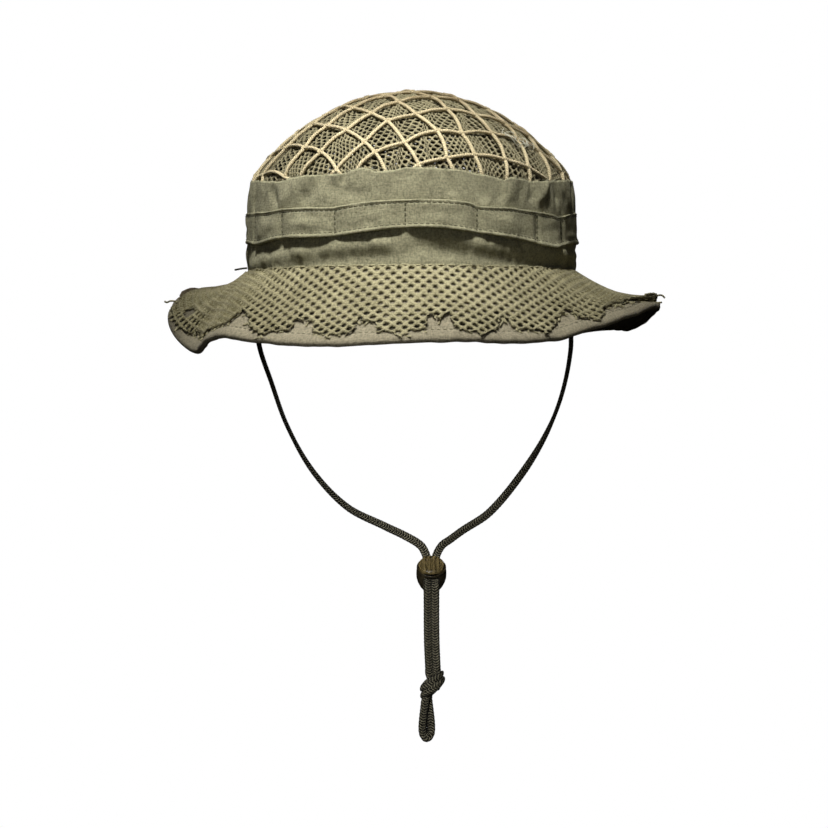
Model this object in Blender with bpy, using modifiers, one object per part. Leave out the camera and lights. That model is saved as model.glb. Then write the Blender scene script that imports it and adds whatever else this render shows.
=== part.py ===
"""Boonie hat: a mesh crown under a string net, a cloth band with a loop band, a two-ply brim
with a ragged mesh cover, and a chin cord with a sprung cord lock, a knot and an end loop.

Metres, +Z up. The origin is the middle of the head opening, level with the seam between crown
and brim. The front of the hat faces -Y. An azimuth is in degrees from the front towards +X.
"""

import math

import bmesh
import bpy
from mathutils import Vector

MM = 0.001
CLEARANCE = 0.3 * MM

# Crown, measured on the outside of the cloth band
CROWN_HALF_WIDTH = 86.0 * MM
CROWN_HALF_LENGTH = 99.5 * MM
BAND_HEIGHT = 49.0 * MM
BAND_THICKNESS = 0.8 * MM
BAND_SWELL = 0.7 * MM
RAW_EDGE_WAVE = 1.3 * MM
CROWN_STEPS = 64

# Mesh cap: a dome with a short skirt inside the band
CAP_TOP = 95.0 * MM
CAP_SHOULDER = 47.0 * MM
CAP_SKIRT_BOTTOM = 44.0 * MM
CAP_INSET = 1.4 * MM
CAP_THICKNESS = 0.9 * MM
CAP_ROUNDNESS = 0.8
CAP_STEPS = 48
CAP_RING_SHARES = (1.0, 0.9, 0.75, 0.57, 0.38, 0.2, 0.06)

# String net over the cap
NET_PITCH = 19.5 * MM
NET_TURN = 28.0
NET_SHIFT = (-6.4 * MM, 3.4 * MM)
NET_CORD = 2.2 * MM
NET_CELLS = 14
NET_WAVE = 1.2 * MM
NET_LOWEST = 52.5 * MM
NET_LEAST_EDGE = 4.5 * MM
NET_LEAST_AREA = 70.0 * MM * MM

# Loop band, sewn on with upright tacks
LOOP_BOTTOM = 16.0 * MM
LOOP_TOP = 33.0 * MM
LOOP_THICKNESS = 0.8 * MM
LOOP_SLACK_LOW = 2.2 * MM
LOOP_SLACK_HIGH = 0.7 * MM
LOOP_STEPS_PER_SPAN = 6
FRONT_TACKS = (-69.0, -49.0, -26.0, -2.0, 22.0, 47.0, 62.5)
BACK_TACK_COUNT = 9
BACK_TACK_FIRST = 86.5
BACK_TACK_LAST = 267.0
TACK_WIDTH = 1.3 * MM
TACK_DEPTH = 0.5 * MM

# Brim: its width along the slope, how far its edge falls below the seam in millimetres, and how
# early it falls, by azimuth
BRIM_WIDTH = (
    (0, 48.5), (60, 48.5), (95, 47.7), (180, 48.5), (255, 48.0), (273, 50.5), (290, 51.0), (308, 48.5),
)
BRIM_DROP = (
    (0, 37.9), (14, 37.3), (27, 38.0), (37, 36.3), (47, 30.7), (60, 23.3), (72, 17.6), (84, 14.0),
    (93, 14.6), (101, 22.5), (109, 27.8), (122, 27.4), (142, 30.0), (165, 27.0), (190, 29.0),
    (212, 25.0), (229, 13.0), (240, 4.5), (248, 5.8), (258, 14.5), (266, 22.8), (273, 32.0),
    (280, 39.3), (287, 41.2), (294, 38.3), (302, 34.6), (309, 33.9), (318, 36.3), (337, 39.2),
)
BRIM_CURL = (
    (0, 0.1), (45, 0.2), (75, 0.8), (92, 0.8), (115, 0.1), (180, 0.1), (240, 0.6), (262, 0.3),
    (287, -0.2), (312, 0.1),
)
BRIM_RINGS = (0.02, 0.35, 0.7, 1.0)
BRIM_SEAT = 0.4 * MM
BRIM_SEAT_WIDTH = 2.3 * MM
BRIM_PLY = 0.8 * MM
BRIM_STEPS = 80
BRIM_HEM_LIP = 2.1 * MM
BRIM_UNDER_END = 0.97
MESH_GAP = 0.7 * MM
MESH_PLY = 1.0 * MM
MESH_TEETH = 20
MESH_FIRST_NOTCH = -11.25
MESH_TIP = 0.94
MESH_NOTCH = 0.73

# Sweatband and the tabs that hold the cord ends
SWEATBAND_INSET = 1.4 * MM
SWEATBAND_THICKNESS = 1.2 * MM
SWEATBAND_LOW = 0.3 * MM
SWEATBAND_HIGH = 30.0 * MM
TAB_THICKNESS = 3.0 * MM
TAB_WIDTH = 11.0 * MM
TAB_LOW = 1.0 * MM
TAB_HIGH = 15.0 * MM

# Loose thread end at the left of the seam
THREAD_RADIUS = 0.5 * MM
THREAD_ROUTE = ((-86.6, -9.0, 3.2), (-89.4, -9.4, 2.9), (-93.2, -9.2, 2.2))

# Chin cord: the routes start under the tabs and end above the knot
CORD_DIAMETER = 4.0 * MM
CORD_STEP = 2.2 * CORD_DIAMETER
HINGE_HEIGHT = -1.0 * MM
CORD_TOP = -1.3 * MM
CORD_EXIT_X = 81.4 * MM
LEFT_RUN = (
    (-81.4, 0.0, -12.0), (-81.6, 0.3, -25.0), (-80.6, 0.7, -38.0), (-74.7, 1.9, -55.9),
    (-66.0, 3.2, -80.0), (-52.5, 5.0, -104.0), (-34.5, 7.2, -123.0), (-14.0, 9.6, -133.6),
    (-3.6, 10.8, -138.6),
)
RIGHT_RUN = (
    (81.6, 0.0, -12.0), (83.9, 0.3, -25.0), (84.3, 0.7, -40.0), (79.5, 1.9, -64.0),
    (71.0, 3.2, -85.1), (58.0, 5.0, -106.2), (41.5, 7.2, -126.0), (26.8, 9.6, -136.0),
    (20.6, 10.8, -140.6),
)
KNOT_TOP = -208.8 * MM
KNOT_SIZE = (12.0 * MM, 8.6 * MM, 15.0 * MM)
KNOT_SHIFT = 0.6 * MM
LOOP_EYE_LOW = -246.4 * MM
LOOP_EYE_TURN = 58.0
LOOP_EYE_HALF_WIDTH = 5.4 * MM
LOOP_EYE_SHIFT = -2.4 * MM
LOOP_EYE_POINTS = 20

# Cord lock: its own +Z is the way the button faces, with zero at the barrel's rim
LOCK_RIM = (10.5 * MM, -2.2 * MM, -154.5 * MM)
LOCK_TILT = 40.0
LOCK_STEPS = 24
STRAND_SPACING = 4.3 * MM
BORE_DEPTH = 3.6 * MM
BORE_WIDTH = 8.9 * MM
BORE_HEIGHT = 4.6 * MM
BORE_REACH = 8.2 * MM
BORE_CORNER = 2.0 * MM
STRAND_BEND = 8.4 * MM
BARREL_OUTSIDE = (
    (7.6, 0.0), (7.85, -1.0), (8.0, -4.0), (7.9, -7.0), (7.4, -9.3), (6.3, -12.1), (4.8, -14.8),
    (3.4, -16.0),
)
BARREL_INSIDE = ((3.2, -14.6), (3.2, -9.8), (5.55, -9.8), (5.55, -3.3), (7.1, -3.3), (7.1, 0.0))
BUTTON_OUTSIDE = (
    (5.9, 2.4), (6.6, 2.1), (6.85, 1.4), (6.85, -1.0), (5.3, -1.0), (5.3, -7.4),
)
BUTTON_TRAVEL = 2.0 * MM
BUTTON_GROOVES = 5
GROOVE_PITCH = 2.4 * MM
GROOVE_WIDTH = 1.1 * MM
GROOVE_DEPTH = 0.5 * MM
SPRING_TURNS = 5
SPRING_POINTS_PER_TURN = 8
SPRING_RADIUS = 2.4 * MM
SPRING_WIRE_RADIUS = 0.3 * MM
SPRING_HIGH = -8.0 * MM
SPRING_LOW = -14.0 * MM

# Colour, roughness and metallic value of each finish
FINISHES = {
    "band_cloth": ((0.20, 0.20, 0.13), 0.9, 0.0),
    "brim_cloth": ((0.22, 0.21, 0.14), 0.9, 0.0),
    "mesh_cloth": ((0.19, 0.19, 0.10), 0.9, 0.0),
    "net_string": ((0.62, 0.53, 0.31), 0.85, 0.0),
    "sweatband_cloth": ((0.16, 0.16, 0.11), 0.9, 0.0),
    "thread": ((0.25, 0.24, 0.16), 0.8, 0.0),
    "cord_braid": ((0.045, 0.047, 0.035), 0.8, 0.0),
    "lock_plastic": ((0.10, 0.085, 0.035), 0.4, 0.0),
    "spring_steel": ((0.55, 0.55, 0.55), 0.35, 1.0),
}


# Scene, materials and small helpers

def clear_scene():
    for item in list(bpy.data.objects):
        bpy.data.objects.remove(item, do_unlink=True)


def new_collection(name):
    collection = bpy.data.collections.new(name)
    bpy.context.scene.collection.children.link(collection)
    return collection


def new_material(name, finish):
    colour, roughness, metallic = FINISHES[finish]
    material = bpy.data.materials.new(name)
    material.use_nodes = True
    shader = material.node_tree.nodes["Principled BSDF"]
    shader.inputs["Base Color"].default_value = (*colour, 1.0)
    shader.inputs["Roughness"].default_value = roughness
    shader.inputs["Metallic"].default_value = metallic
    return material


def new_object(name, data, finish, parent=None):
    item = bpy.data.objects.new(name, data)
    data.materials.append(new_material(name, finish))
    item.parent = parent
    parts.objects.link(item)
    return item


def new_empty(name, location, parent=None, tilt=0.0):
    item = bpy.data.objects.new(name, None)
    item.location = location
    item.rotation_euler.x = math.radians(tilt)
    item.parent = parent
    parts.objects.link(item)
    return item


def new_cutter(name, mesh, parent):
    data = bpy.data.meshes.new(name)
    mesh.to_mesh(data)
    mesh.free()
    item = bpy.data.objects.new(name, data)
    item.parent = parent
    item.hide_render = True
    item.display_type = "WIRE"
    cutters.objects.link(item)
    return item


def cut(item, cutter):
    modifier = item.modifiers.new(cutter.name, "BOOLEAN")
    modifier.operation = "DIFFERENCE"
    modifier.object = cutter


def box_mesh(low, high):
    """A box between two corners."""
    mesh = bmesh.new()
    corners = bmesh.ops.create_cube(mesh, size=1.0)["verts"]
    for corner in corners:
        shares = [value + 0.5 for value in corner.co]
        corner.co = [a + (b - a) * s for a, b, s in zip(low, high, shares)]
    return mesh


# Smooth curves through stations and route points

def hermite(start, end, start_slope, end_slope, share):
    """A cubic from start to end, with slopes given per whole span."""
    square = share * share
    cube = square * share
    return (
        start * (2 * cube - 3 * square + 1)
        + start_slope * (cube - 2 * square + share)
        + end * (3 * square - 2 * cube)
        + end_slope * (cube - square)
    )


def value_round(stations, azimuth):
    """Read the closed smooth curve through (azimuth, value) stations."""
    laps = [(where + lap, value) for lap in (-360, 0, 360) for where, value in stations]
    wanted = azimuth % 360
    last = max(i for i, (where, _) in enumerate(laps) if where <= wanted)
    (w0, v0), (w1, v1), (w2, v2), (w3, v3) = laps[last - 1:last + 3]
    span = w2 - w1
    slope_1 = span * (v2 - v0) / (w2 - w0)
    slope_2 = span * (v3 - v1) / (w3 - w1)
    return hermite(v1, v2, slope_1, slope_2, (wanted - w1) / span)


def smooth_route(points, step):
    """Points about a step apart on the smooth curve through a route's own points."""
    ends = [points[0] * 2 - points[1], *points, points[-1] * 2 - points[-2]]
    route = [points[0]]
    for p0, p1, p2, p3 in zip(ends, ends[1:], ends[2:], ends[3:]):
        span = (p2 - p1).length
        slope_1 = (p2 - p0) * (span / ((p1 - p0).length + span))
        slope_2 = (p3 - p1) * (span / ((p3 - p2).length + span))
        count = max(1, round(span / step))
        route += [hermite(p1, p2, slope_1, slope_2, i / count) for i in range(1, count + 1)]
    return route


def route_length(points):
    return sum((b - a).length for a, b in zip(points, points[1:]))


def tube(name, points, radius, finish, resolution, parent=None):
    """A round tube with filled ends along a list of points."""
    data = bpy.data.curves.new(name, "CURVE")
    data.dimensions = "3D"
    data.bevel_depth = radius
    data.bevel_resolution = resolution
    data.use_fill_caps = True
    spline = data.splines.new("POLY")
    spline.points.add(len(points) - 1)
    for target, point in zip(spline.points, points):
        target.co = (*point, 1.0)
    return new_object(name, data, finish, parent)


# Shells made of rings

def loft(rings, facing):
    """Skin a stack of rings: a circle that is extruded ring by ring. facing is roughly the way
    the first face looks."""
    mesh = bmesh.new()
    ring = bmesh.ops.create_circle(mesh, segments=len(rings[0]), radius=1.0)["verts"]
    for vert, point in zip(ring, rings[0]):
        vert.co = point
    for points in rings[1:]:
        made = bmesh.ops.extrude_edge_only(mesh, edges=ring_edges(mesh, ring))["geom"]
        fresh = {item for item in made if isinstance(item, bmesh.types.BMVert)}
        ring = [
            next(edge.other_vert(vert) for edge in vert.link_edges if edge.other_vert(vert) in fresh)
            for vert in ring
        ]
        for vert, point in zip(ring, points):
            vert.co = point
    bmesh.ops.recalc_face_normals(mesh, faces=mesh.faces[:])
    mesh.faces.ensure_lookup_table()
    if mesh.faces[0].normal.dot(facing(mesh.faces[0].calc_center_median())) < 0:
        bmesh.ops.reverse_faces(mesh, faces=mesh.faces[:])
    return mesh, ring


def ring_edges(mesh, ring):
    return [mesh.edges.get((a, b)) for a, b in zip(ring, ring[1:] + ring[:1])]


def shell(name, mesh, thickness, finish):
    """A closed solid that lies under an open surface, on the side its faces look away from."""
    data = bpy.data.meshes.new(name)
    mesh.to_mesh(data)
    mesh.free()
    data.shade_smooth()
    item = new_object(name, data, finish)
    solidify = item.modifiers.new("thickness", "SOLIDIFY")
    solidify.thickness = thickness
    solidify.offset = -1.0
    solidify.use_even_offset = True
    return item


def outward(point):
    return Vector((point.x, point.y, 0.0))


def upward(point):
    return Vector((0.0, 0.0, 1.0))


def steps_round(count, first=0.0):
    return [first + 360.0 * i / count for i in range(count)]


# Crown

def oval(azimuth, inset, height):
    """A point on the crown's oval, moved in by inset."""
    side = math.radians(azimuth)
    return Vector((
        (CROWN_HALF_WIDTH - inset) * math.sin(side),
        -(CROWN_HALF_LENGTH - inset) * math.cos(side),
        height,
    ))


def band_swell(height):
    return BAND_SWELL * math.sin(math.pi * height / BAND_HEIGHT)


def raw_edge(azimuth):
    side = math.radians(azimuth)
    wave = math.sin(9 * side) + 0.7 * math.sin(16 * side + 1.0)
    return BAND_HEIGHT + RAW_EDGE_WAVE * wave / 1.7


def make_band():
    turns = steps_round(CROWN_STEPS)
    rings = []
    for share in (0.0, 0.3, 0.65, 1.0):
        heights = [raw_edge(azimuth) * share for azimuth in turns]
        rings.append([oval(a, -band_swell(z), z) for a, z in zip(turns, heights)])
    mesh, _ = loft(rings, outward)
    return shell("crown_band", mesh, BAND_THICKNESS, "band_cloth")


def cap_height(share):
    """Height of the cap's outside at a share of the way from its middle to its shoulder."""
    rise = max(0.0, 1.0 - share * share) ** CAP_ROUNDNESS
    return CAP_SHOULDER + (CAP_TOP - CAP_SHOULDER) * rise


def cap_point(azimuth, share):
    point = oval(azimuth, CAP_INSET, 0.0) * share
    point.z = cap_height(share)
    return point


def make_cap():
    turns = steps_round(CAP_STEPS)
    rings = [[oval(azimuth, CAP_INSET + CLEARANCE, CAP_SKIRT_BOTTOM) for azimuth in turns]]
    rings += [[cap_point(azimuth, share) for azimuth in turns] for share in CAP_RING_SHARES]
    mesh, last = loft(rings, outward)
    bmesh.ops.edgeloop_fill(mesh, edges=ring_edges(mesh, last))
    return shell("crown_mesh_cap", mesh, CAP_THICKNESS, "mesh_cloth")


def cap_arc_table(steps=200):
    """Pairs of (arc length from the top, share of the way to the shoulder) along the cap."""
    radius = (CROWN_HALF_WIDTH + CROWN_HALF_LENGTH) / 2 - CAP_INSET
    table = [(0.0, 0.0)]
    for i in range(1, steps + 1):
        share = i / steps
        run = radius / steps
        fall = cap_height(share) - cap_height(share - 1 / steps)
        table.append((table[-1][0] + math.hypot(run, fall), share))
    return table


def lay_on_cap(flat, table):
    """Where a point of the flat net comes to lie when the net is laid over the cap."""
    reach = min(flat.length, table[-1][0])
    after = next(i for i, (arc, _) in enumerate(table) if arc >= reach)
    before = max(0, after - 1)
    span = table[after][0] - table[before][0]
    part = (reach - table[before][0]) / span if span else 0.0
    share = table[before][1] + part * (table[after][1] - table[before][1])
    return cap_point(math.degrees(math.atan2(flat.x, -flat.y)), share)


def net_wave(x, y):
    """Move the middle of each string of the flat net a little to one side, by turns."""
    column = round(2 * x / NET_PITCH)
    row = round(2 * y / NET_PITCH)
    turn = 1 if (column // 2 + row // 2) % 2 else -1
    if column % 2:
        return x, y + turn * NET_WAVE
    if row % 2:
        return x + turn * NET_WAVE, y
    return x, y


def make_net():
    """A square net, turned and shifted, laid over the cap and cut off at the band's edge."""
    table = cap_arc_table()
    half = NET_CELLS * NET_PITCH / 2
    mesh = bmesh.new()
    bmesh.ops.create_grid(mesh, x_segments=NET_CELLS, y_segments=NET_CELLS, size=half)
    bmesh.ops.bisect_edges(mesh, edges=mesh.edges[:], cuts=1)
    turn = math.radians(NET_TURN)
    along = Vector((math.cos(turn), math.sin(turn)))
    across = Vector((-math.sin(turn), math.cos(turn)))
    flats = {}
    for vert in mesh.verts:
        x, y = net_wave(vert.co.x, vert.co.y)
        flats[vert] = along * (x + NET_SHIFT[0]) + across * (y + NET_SHIFT[1])
    reach = table[-1][0]
    far = [vert for vert, flat in flats.items() if flat.length > reach + NET_PITCH]
    for vert in mesh.verts:
        vert.co = lay_on_cap(flats[vert], table)
    bmesh.ops.delete(mesh, geom=far, context="VERTS")
    cut_off = bmesh.ops.bisect_plane(
        mesh, geom=mesh.verts[:] + mesh.edges[:] + mesh.faces[:], plane_co=(0, 0, NET_LOWEST),
        plane_no=(0, 0, -1), clear_outer=True,
    )
    assert cut_off["geom_cut"]
    bmesh.ops.remove_doubles(mesh, verts=mesh.verts[:], dist=NET_LEAST_EDGE)
    small = [face for face in mesh.faces if face.calc_area() < NET_LEAST_AREA]
    bmesh.ops.delete(mesh, geom=small, context="FACES")
    bmesh.ops.recalc_face_normals(mesh, faces=mesh.faces[:])
    lift = NET_CORD / 2 + CLEARANCE * 2
    mesh.normal_update()
    for vert, normal in [(vert, vert.normal.copy()) for vert in mesh.verts]:
        vert.co += normal * lift
    print("net gaps", len(mesh.faces))
    data = bpy.data.meshes.new("crown_net")
    mesh.to_mesh(data)
    mesh.free()
    item = new_object("crown_net", data, "net_string")
    cords = item.modifiers.new("cords", "WIREFRAME")
    cords.thickness = NET_CORD
    cords.use_even_offset = False
    cords.use_boundary = True
    return item


# Loop band and its tacks

def tack_azimuths():
    span = (BACK_TACK_LAST - BACK_TACK_FIRST) / (BACK_TACK_COUNT - 1)
    return [*FRONT_TACKS, *(BACK_TACK_FIRST + span * i for i in range(BACK_TACK_COUNT))]


def loop_face(azimuth, slack, height):
    stand_off = CLEARANCE + LOOP_THICKNESS + slack
    return oval(azimuth, -band_swell(height) - stand_off, height)


def make_loop_band():
    tacks = tack_azimuths()
    turns = []
    bulges = []
    for start, end in zip(tacks, tacks[1:] + [tacks[0] + 360.0]):
        for i in range(LOOP_STEPS_PER_SPAN):
            share = i / LOOP_STEPS_PER_SPAN
            turns.append(start + (end - start) * share)
            bulges.append(math.sin(math.pi * share) ** 2)
    middle = (LOOP_BOTTOM + LOOP_TOP) / 2
    levels = (
        (LOOP_BOTTOM, LOOP_SLACK_LOW),
        (middle, (LOOP_SLACK_LOW + LOOP_SLACK_HIGH) / 2),
        (LOOP_TOP, LOOP_SLACK_HIGH),
    )
    rings = [
        [loop_face(azimuth, slack * bulge, height) for azimuth, bulge in zip(turns, bulges)]
        for height, slack in levels
    ]
    mesh, _ = loft(rings, outward)
    return shell("loop_band", mesh, LOOP_THICKNESS, "band_cloth")


def make_tack(number, azimuth):
    """One upright bar of stitches that holds the loop band down."""
    middle = (LOOP_BOTTOM + LOOP_TOP) / 2
    half = (TACK_DEPTH / 2, TACK_WIDTH / 2, (LOOP_TOP - LOOP_BOTTOM) / 2 - MM)
    mesh = box_mesh([-value for value in half], half)
    name = f"loop_tack_{number:02d}"
    data = bpy.data.meshes.new(name)
    mesh.to_mesh(data)
    mesh.free()
    item = new_object(name, data, "thread")
    item.location = loop_face(azimuth, CLEARANCE * 1.5 + TACK_DEPTH / 2, middle)
    side = math.radians(azimuth)
    normal = (CROWN_HALF_LENGTH * math.sin(side), -CROWN_HALF_WIDTH * math.cos(side))
    item.rotation_euler.z = math.atan2(normal[1], normal[0])


# Brim

def brim_surface(azimuth, share):
    """The brim's upper face, from the seam at share 0 to its edge at share 1."""
    drop = value_round(BRIM_DROP, azimuth) * MM
    curl = value_round(BRIM_CURL, azimuth)
    run = math.sqrt((value_round(BRIM_WIDTH, azimuth) * MM) ** 2 - drop ** 2)
    side = math.radians(azimuth)
    away = Vector((CROWN_HALF_LENGTH * math.sin(side), -CROWN_HALF_WIDTH * math.cos(side), 0))
    fall = BRIM_SEAT + drop * share * (1 + curl * (1 - share))
    return oval(azimuth, 0.0, -fall) + away.normalized() * run * share


def brim_point(azimuth, share, lift):
    """A point at a height square to the brim's upper face."""
    turn = 0.5
    step = 0.02
    along = brim_surface(azimuth + turn, share) - brim_surface(azimuth - turn, share)
    inner = max(0.0, share - step)
    out = brim_surface(azimuth, inner + 2 * step) - brim_surface(azimuth, inner)
    return brim_surface(azimuth, share) + out.cross(along).normalized() * lift


def brim_facet(azimuth, share, lift):
    """The same, on the flat facets between the rings that every ply has."""
    outer = next(ring for ring in BRIM_RINGS if ring >= share)
    inner = BRIM_RINGS[max(0, BRIM_RINGS.index(outer) - 1)]
    part = (share - inner) / (outer - inner) if outer > inner else 0.0
    return brim_point(azimuth, inner, lift).lerp(brim_point(azimuth, outer, lift), part)


def brim_seat(azimuth, lift):
    """A point on the flat inner edge that the band is sewn to."""
    return oval(azimuth, BRIM_SEAT_WIDTH, -BRIM_SEAT + lift)


def make_brim_top():
    """The upper ply, with its edge turned down over the lower one."""
    turns = steps_round(BRIM_STEPS, MESH_FIRST_NOTCH)
    rings = [[brim_seat(azimuth, 0.0) for azimuth in turns]]
    rings += [[brim_point(azimuth, share, 0.0) for azimuth in turns] for share in BRIM_RINGS]
    rings.append([brim_point(azimuth, 1.0, -BRIM_HEM_LIP) for azimuth in turns])
    mesh, _ = loft(rings, upward)
    return shell("brim_top_cloth", mesh, BRIM_PLY, "brim_cloth")


def make_brim_under():
    turns = steps_round(BRIM_STEPS, MESH_FIRST_NOTCH)
    lift = -BRIM_PLY - CLEARANCE
    rings = [[brim_seat(azimuth, lift) for azimuth in turns]]
    for share in (*BRIM_RINGS[:-1], BRIM_UNDER_END):
        rings.append([brim_facet(azimuth, share, lift) for azimuth in turns])
    mesh, _ = loft(rings, upward)
    return shell("brim_under_cloth", mesh, BRIM_PLY, "brim_cloth")


def mesh_end(azimuth):
    """How far down the brim the ragged mesh reaches."""
    tooth = (azimuth - MESH_FIRST_NOTCH) * MESH_TEETH / 360.0
    return MESH_NOTCH + (MESH_TIP - MESH_NOTCH) * min(1.0, 2.0 * abs(math.sin(math.pi * tooth)))


def make_brim_mesh():
    turns = steps_round(BRIM_STEPS, MESH_FIRST_NOTCH)
    lift = MESH_GAP + MESH_PLY
    rings = [[brim_point(azimuth, share, lift) for azimuth in turns] for share in BRIM_RINGS[:-1]]
    rings.append([brim_facet(azimuth, mesh_end(azimuth), lift) for azimuth in turns])
    mesh, _ = loft(rings, upward)
    return shell("brim_mesh", mesh, MESH_PLY, "mesh_cloth")


# Inside of the crown

def make_sweatband():
    turns = steps_round(CROWN_STEPS)
    heights = (SWEATBAND_LOW, SWEATBAND_HIGH)
    rings = [[oval(azimuth, SWEATBAND_INSET, z) for azimuth in turns] for z in heights]
    mesh, _ = loft(rings, outward)
    return shell("sweatband", mesh, SWEATBAND_THICKNESS, "sweatband_cloth")


def make_tab(name, side):
    """A folded cloth tab inside the sweatband, with a rounded lower end over the cord's end."""
    outer = CROWN_HALF_WIDTH - SWEATBAND_INSET - SWEATBAND_THICKNESS - 2 * CLEARANCE
    low = (outer - TAB_THICKNESS, -TAB_WIDTH / 2, TAB_LOW)
    high = (outer, TAB_WIDTH / 2, TAB_HIGH)
    mesh = box_mesh(low, high)
    lower = [
        edge for edge in mesh.edges
        if all(vert.co.z < TAB_LOW + MM for vert in edge.verts)
        and abs(edge.verts[0].co.x - edge.verts[1].co.x) > MM
    ]
    bmesh.ops.bevel(mesh, geom=lower, offset=TAB_WIDTH * 0.3, segments=3, affect="EDGES", profile=0.5)
    if side < 0:
        for vert in mesh.verts:
            vert.co.x = -vert.co.x
        bmesh.ops.reverse_faces(mesh, faces=mesh.faces[:])
    data = bpy.data.meshes.new(name)
    mesh.to_mesh(data)
    mesh.free()
    return new_object(name, data, "sweatband_cloth")


def make_thread_end():
    points = smooth_route([Vector(point) * MM for point in THREAD_ROUTE], 2 * MM)
    return tube("seam_thread_end", points, THREAD_RADIUS, "cord_braid", 1)


# Chin cord

def lock_place(y, z):
    """A point of the lock's own middle plane, in the hat's frame."""
    tilt = math.radians(LOCK_TILT)
    rim = Vector(LOCK_RIM)
    return rim + Vector((0.0, y * math.cos(tilt) - z * math.sin(tilt),
                         y * math.sin(tilt) + z * math.cos(tilt)))


def strand_route(side, run):
    """From a tab down the run, through the lock's bore and straight down to the knot."""
    shift = Vector((side * STRAND_SPACING / 2, 0.0, 0.0))
    tilt = math.radians(LOCK_TILT)
    back = lock_place(BORE_REACH, -BORE_DEPTH) + shift
    front = lock_place(-BORE_REACH, -BORE_DEPTH) + shift
    half_turn = math.radians(90.0 - LOCK_TILT) / 2
    bend = []
    for turned in (half_turn, 2 * half_turn):
        forward = STRAND_BEND * (math.sin(tilt + turned) - math.sin(tilt))
        down = STRAND_BEND * (math.cos(tilt) - math.cos(tilt + turned))
        bend.append(Vector((0.0, -forward, -down)))
    entering = [
        back + Vector((side * 0.9 * MM, 2.6 * MM, 3.9 * MM)),
        back + Vector((side * 3.7 * MM, 3.6 * MM, 8.4 * MM)),
    ]
    leaving = [front + turn for turn in bend]
    end = Vector((leaving[-1].x, leaving[-1].y, KNOT_TOP + CLEARANCE))
    start = [Vector((side * CORD_EXIT_X, 0.0, CORD_TOP))]
    hanging = [Vector(point) * MM for point in run]
    return [*start, *hanging, *reversed(entering), back, front, *leaving, end]


def make_strand(name, side, run, hinge):
    points = smooth_route(strand_route(side, run), CORD_STEP)
    print(name, "length", round(route_length(points), 4), "points", len(points))
    local = [point - hinge.location for point in points]
    tube(name, local, CORD_DIAMETER / 2, "cord_braid", 2, hinge)
    return points[-1]


def make_knot(foot, hinge):
    """The lump of an overhand knot tied in both strands."""
    mesh = bmesh.new()
    bmesh.ops.create_uvsphere(mesh, u_segments=14, v_segments=9, radius=0.5)
    for vert in mesh.verts:
        twist = 1.0 + 0.12 * math.sin(9.0 * vert.co.z + 2.0 * math.atan2(vert.co.y, vert.co.x))
        vert.co.x *= KNOT_SIZE[0] * twist
        vert.co.y *= KNOT_SIZE[1] * twist
        vert.co.z *= KNOT_SIZE[2]
    data = bpy.data.meshes.new("chin_cord_knot")
    mesh.to_mesh(data)
    mesh.free()
    data.shade_smooth()
    item = new_object("chin_cord_knot", data, "cord_braid", hinge)
    middle = Vector((foot.x + KNOT_SHIFT, foot.y, KNOT_TOP - KNOT_SIZE[2] / 2 - CLEARANCE))
    item.location = middle - hinge.location
    return middle


def make_loop_eye(knot, hinge):
    """The bight of cord that hangs under the knot, turned partly away from the front."""
    high = knot.z - KNOT_SIZE[2] / 2 - CLEARANCE
    drop = high - LOOP_EYE_LOW
    turn = math.radians(LOOP_EYE_TURN)
    neck = CORD_DIAMETER * 0.56
    widest = math.sqrt(0.5)
    widening = (LOOP_EYE_HALF_WIDTH / widest - neck) / widest
    points = []
    for i in range(LOOP_EYE_POINTS + 1):
        share = i / LOOP_EYE_POINTS
        side = 1 if share > 0.5 else -1
        swing = math.pi / 2 * (1 - abs(2 * share - 1))
        out = side * math.cos(swing) * (neck + widening * math.sin(swing))
        x = knot.x + LOOP_EYE_SHIFT * math.sin(swing) + out * math.cos(turn)
        points.append(Vector((x, knot.y + out * math.sin(turn), high - drop * math.sin(swing))))
    print("end loop length", round(route_length(points), 4))
    local = [point - hinge.location for point in points]
    return tube("chin_cord_loop", local, CORD_DIAMETER / 2, "cord_braid", 2, hinge)


# Cord lock

def turned(name, profile, finish, parent):
    """A profile in millimetres, from the axis round the outside to the axis, turned about Z."""
    mesh = bmesh.new()
    verts = [mesh.verts.new((x * MM, 0.0, z * MM)) for x, z in profile]
    for a, b in zip(verts, verts[1:]):
        mesh.edges.new((a, b))
    data = bpy.data.meshes.new(name)
    mesh.to_mesh(data)
    mesh.free()
    item = new_object(name, data, finish, parent)
    screw = item.modifiers.new("turning", "SCREW")
    screw.axis = "Z"
    screw.steps = LOCK_STEPS
    screw.render_steps = LOCK_STEPS
    screw.use_merge_vertices = True
    screw.merge_threshold = 0.01 * MM
    return item


def slot_cutter(name, low, high, parent):
    """A slot across the lock with rounded corners."""
    reach = 2 * BORE_REACH
    mesh = box_mesh((-BORE_WIDTH / 2, -reach, low), (BORE_WIDTH / 2, reach, high))
    along = [e for e in mesh.edges if abs(e.verts[0].co.y - e.verts[1].co.y) > reach]
    bmesh.ops.bevel(mesh, geom=along, offset=BORE_CORNER, segments=3, affect="EDGES", profile=0.5)
    return new_cutter(name, mesh, parent)


def groove_cutter(parent, top):
    mesh = bmesh.new()
    for i in range(BUTTON_GROOVES):
        x = (i - (BUTTON_GROOVES - 1) / 2) * GROOVE_PITCH
        corners = bmesh.ops.create_cube(mesh, size=1.0)["verts"]
        for corner in corners:
            corner.co.x = x + corner.co.x * GROOVE_WIDTH
            corner.co.y = corner.co.y * 2 * BORE_REACH
            corner.co.z = top + corner.co.z * 2 * GROOVE_DEPTH
    return new_cutter("button_grooves_cutter", mesh, parent)


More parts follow.
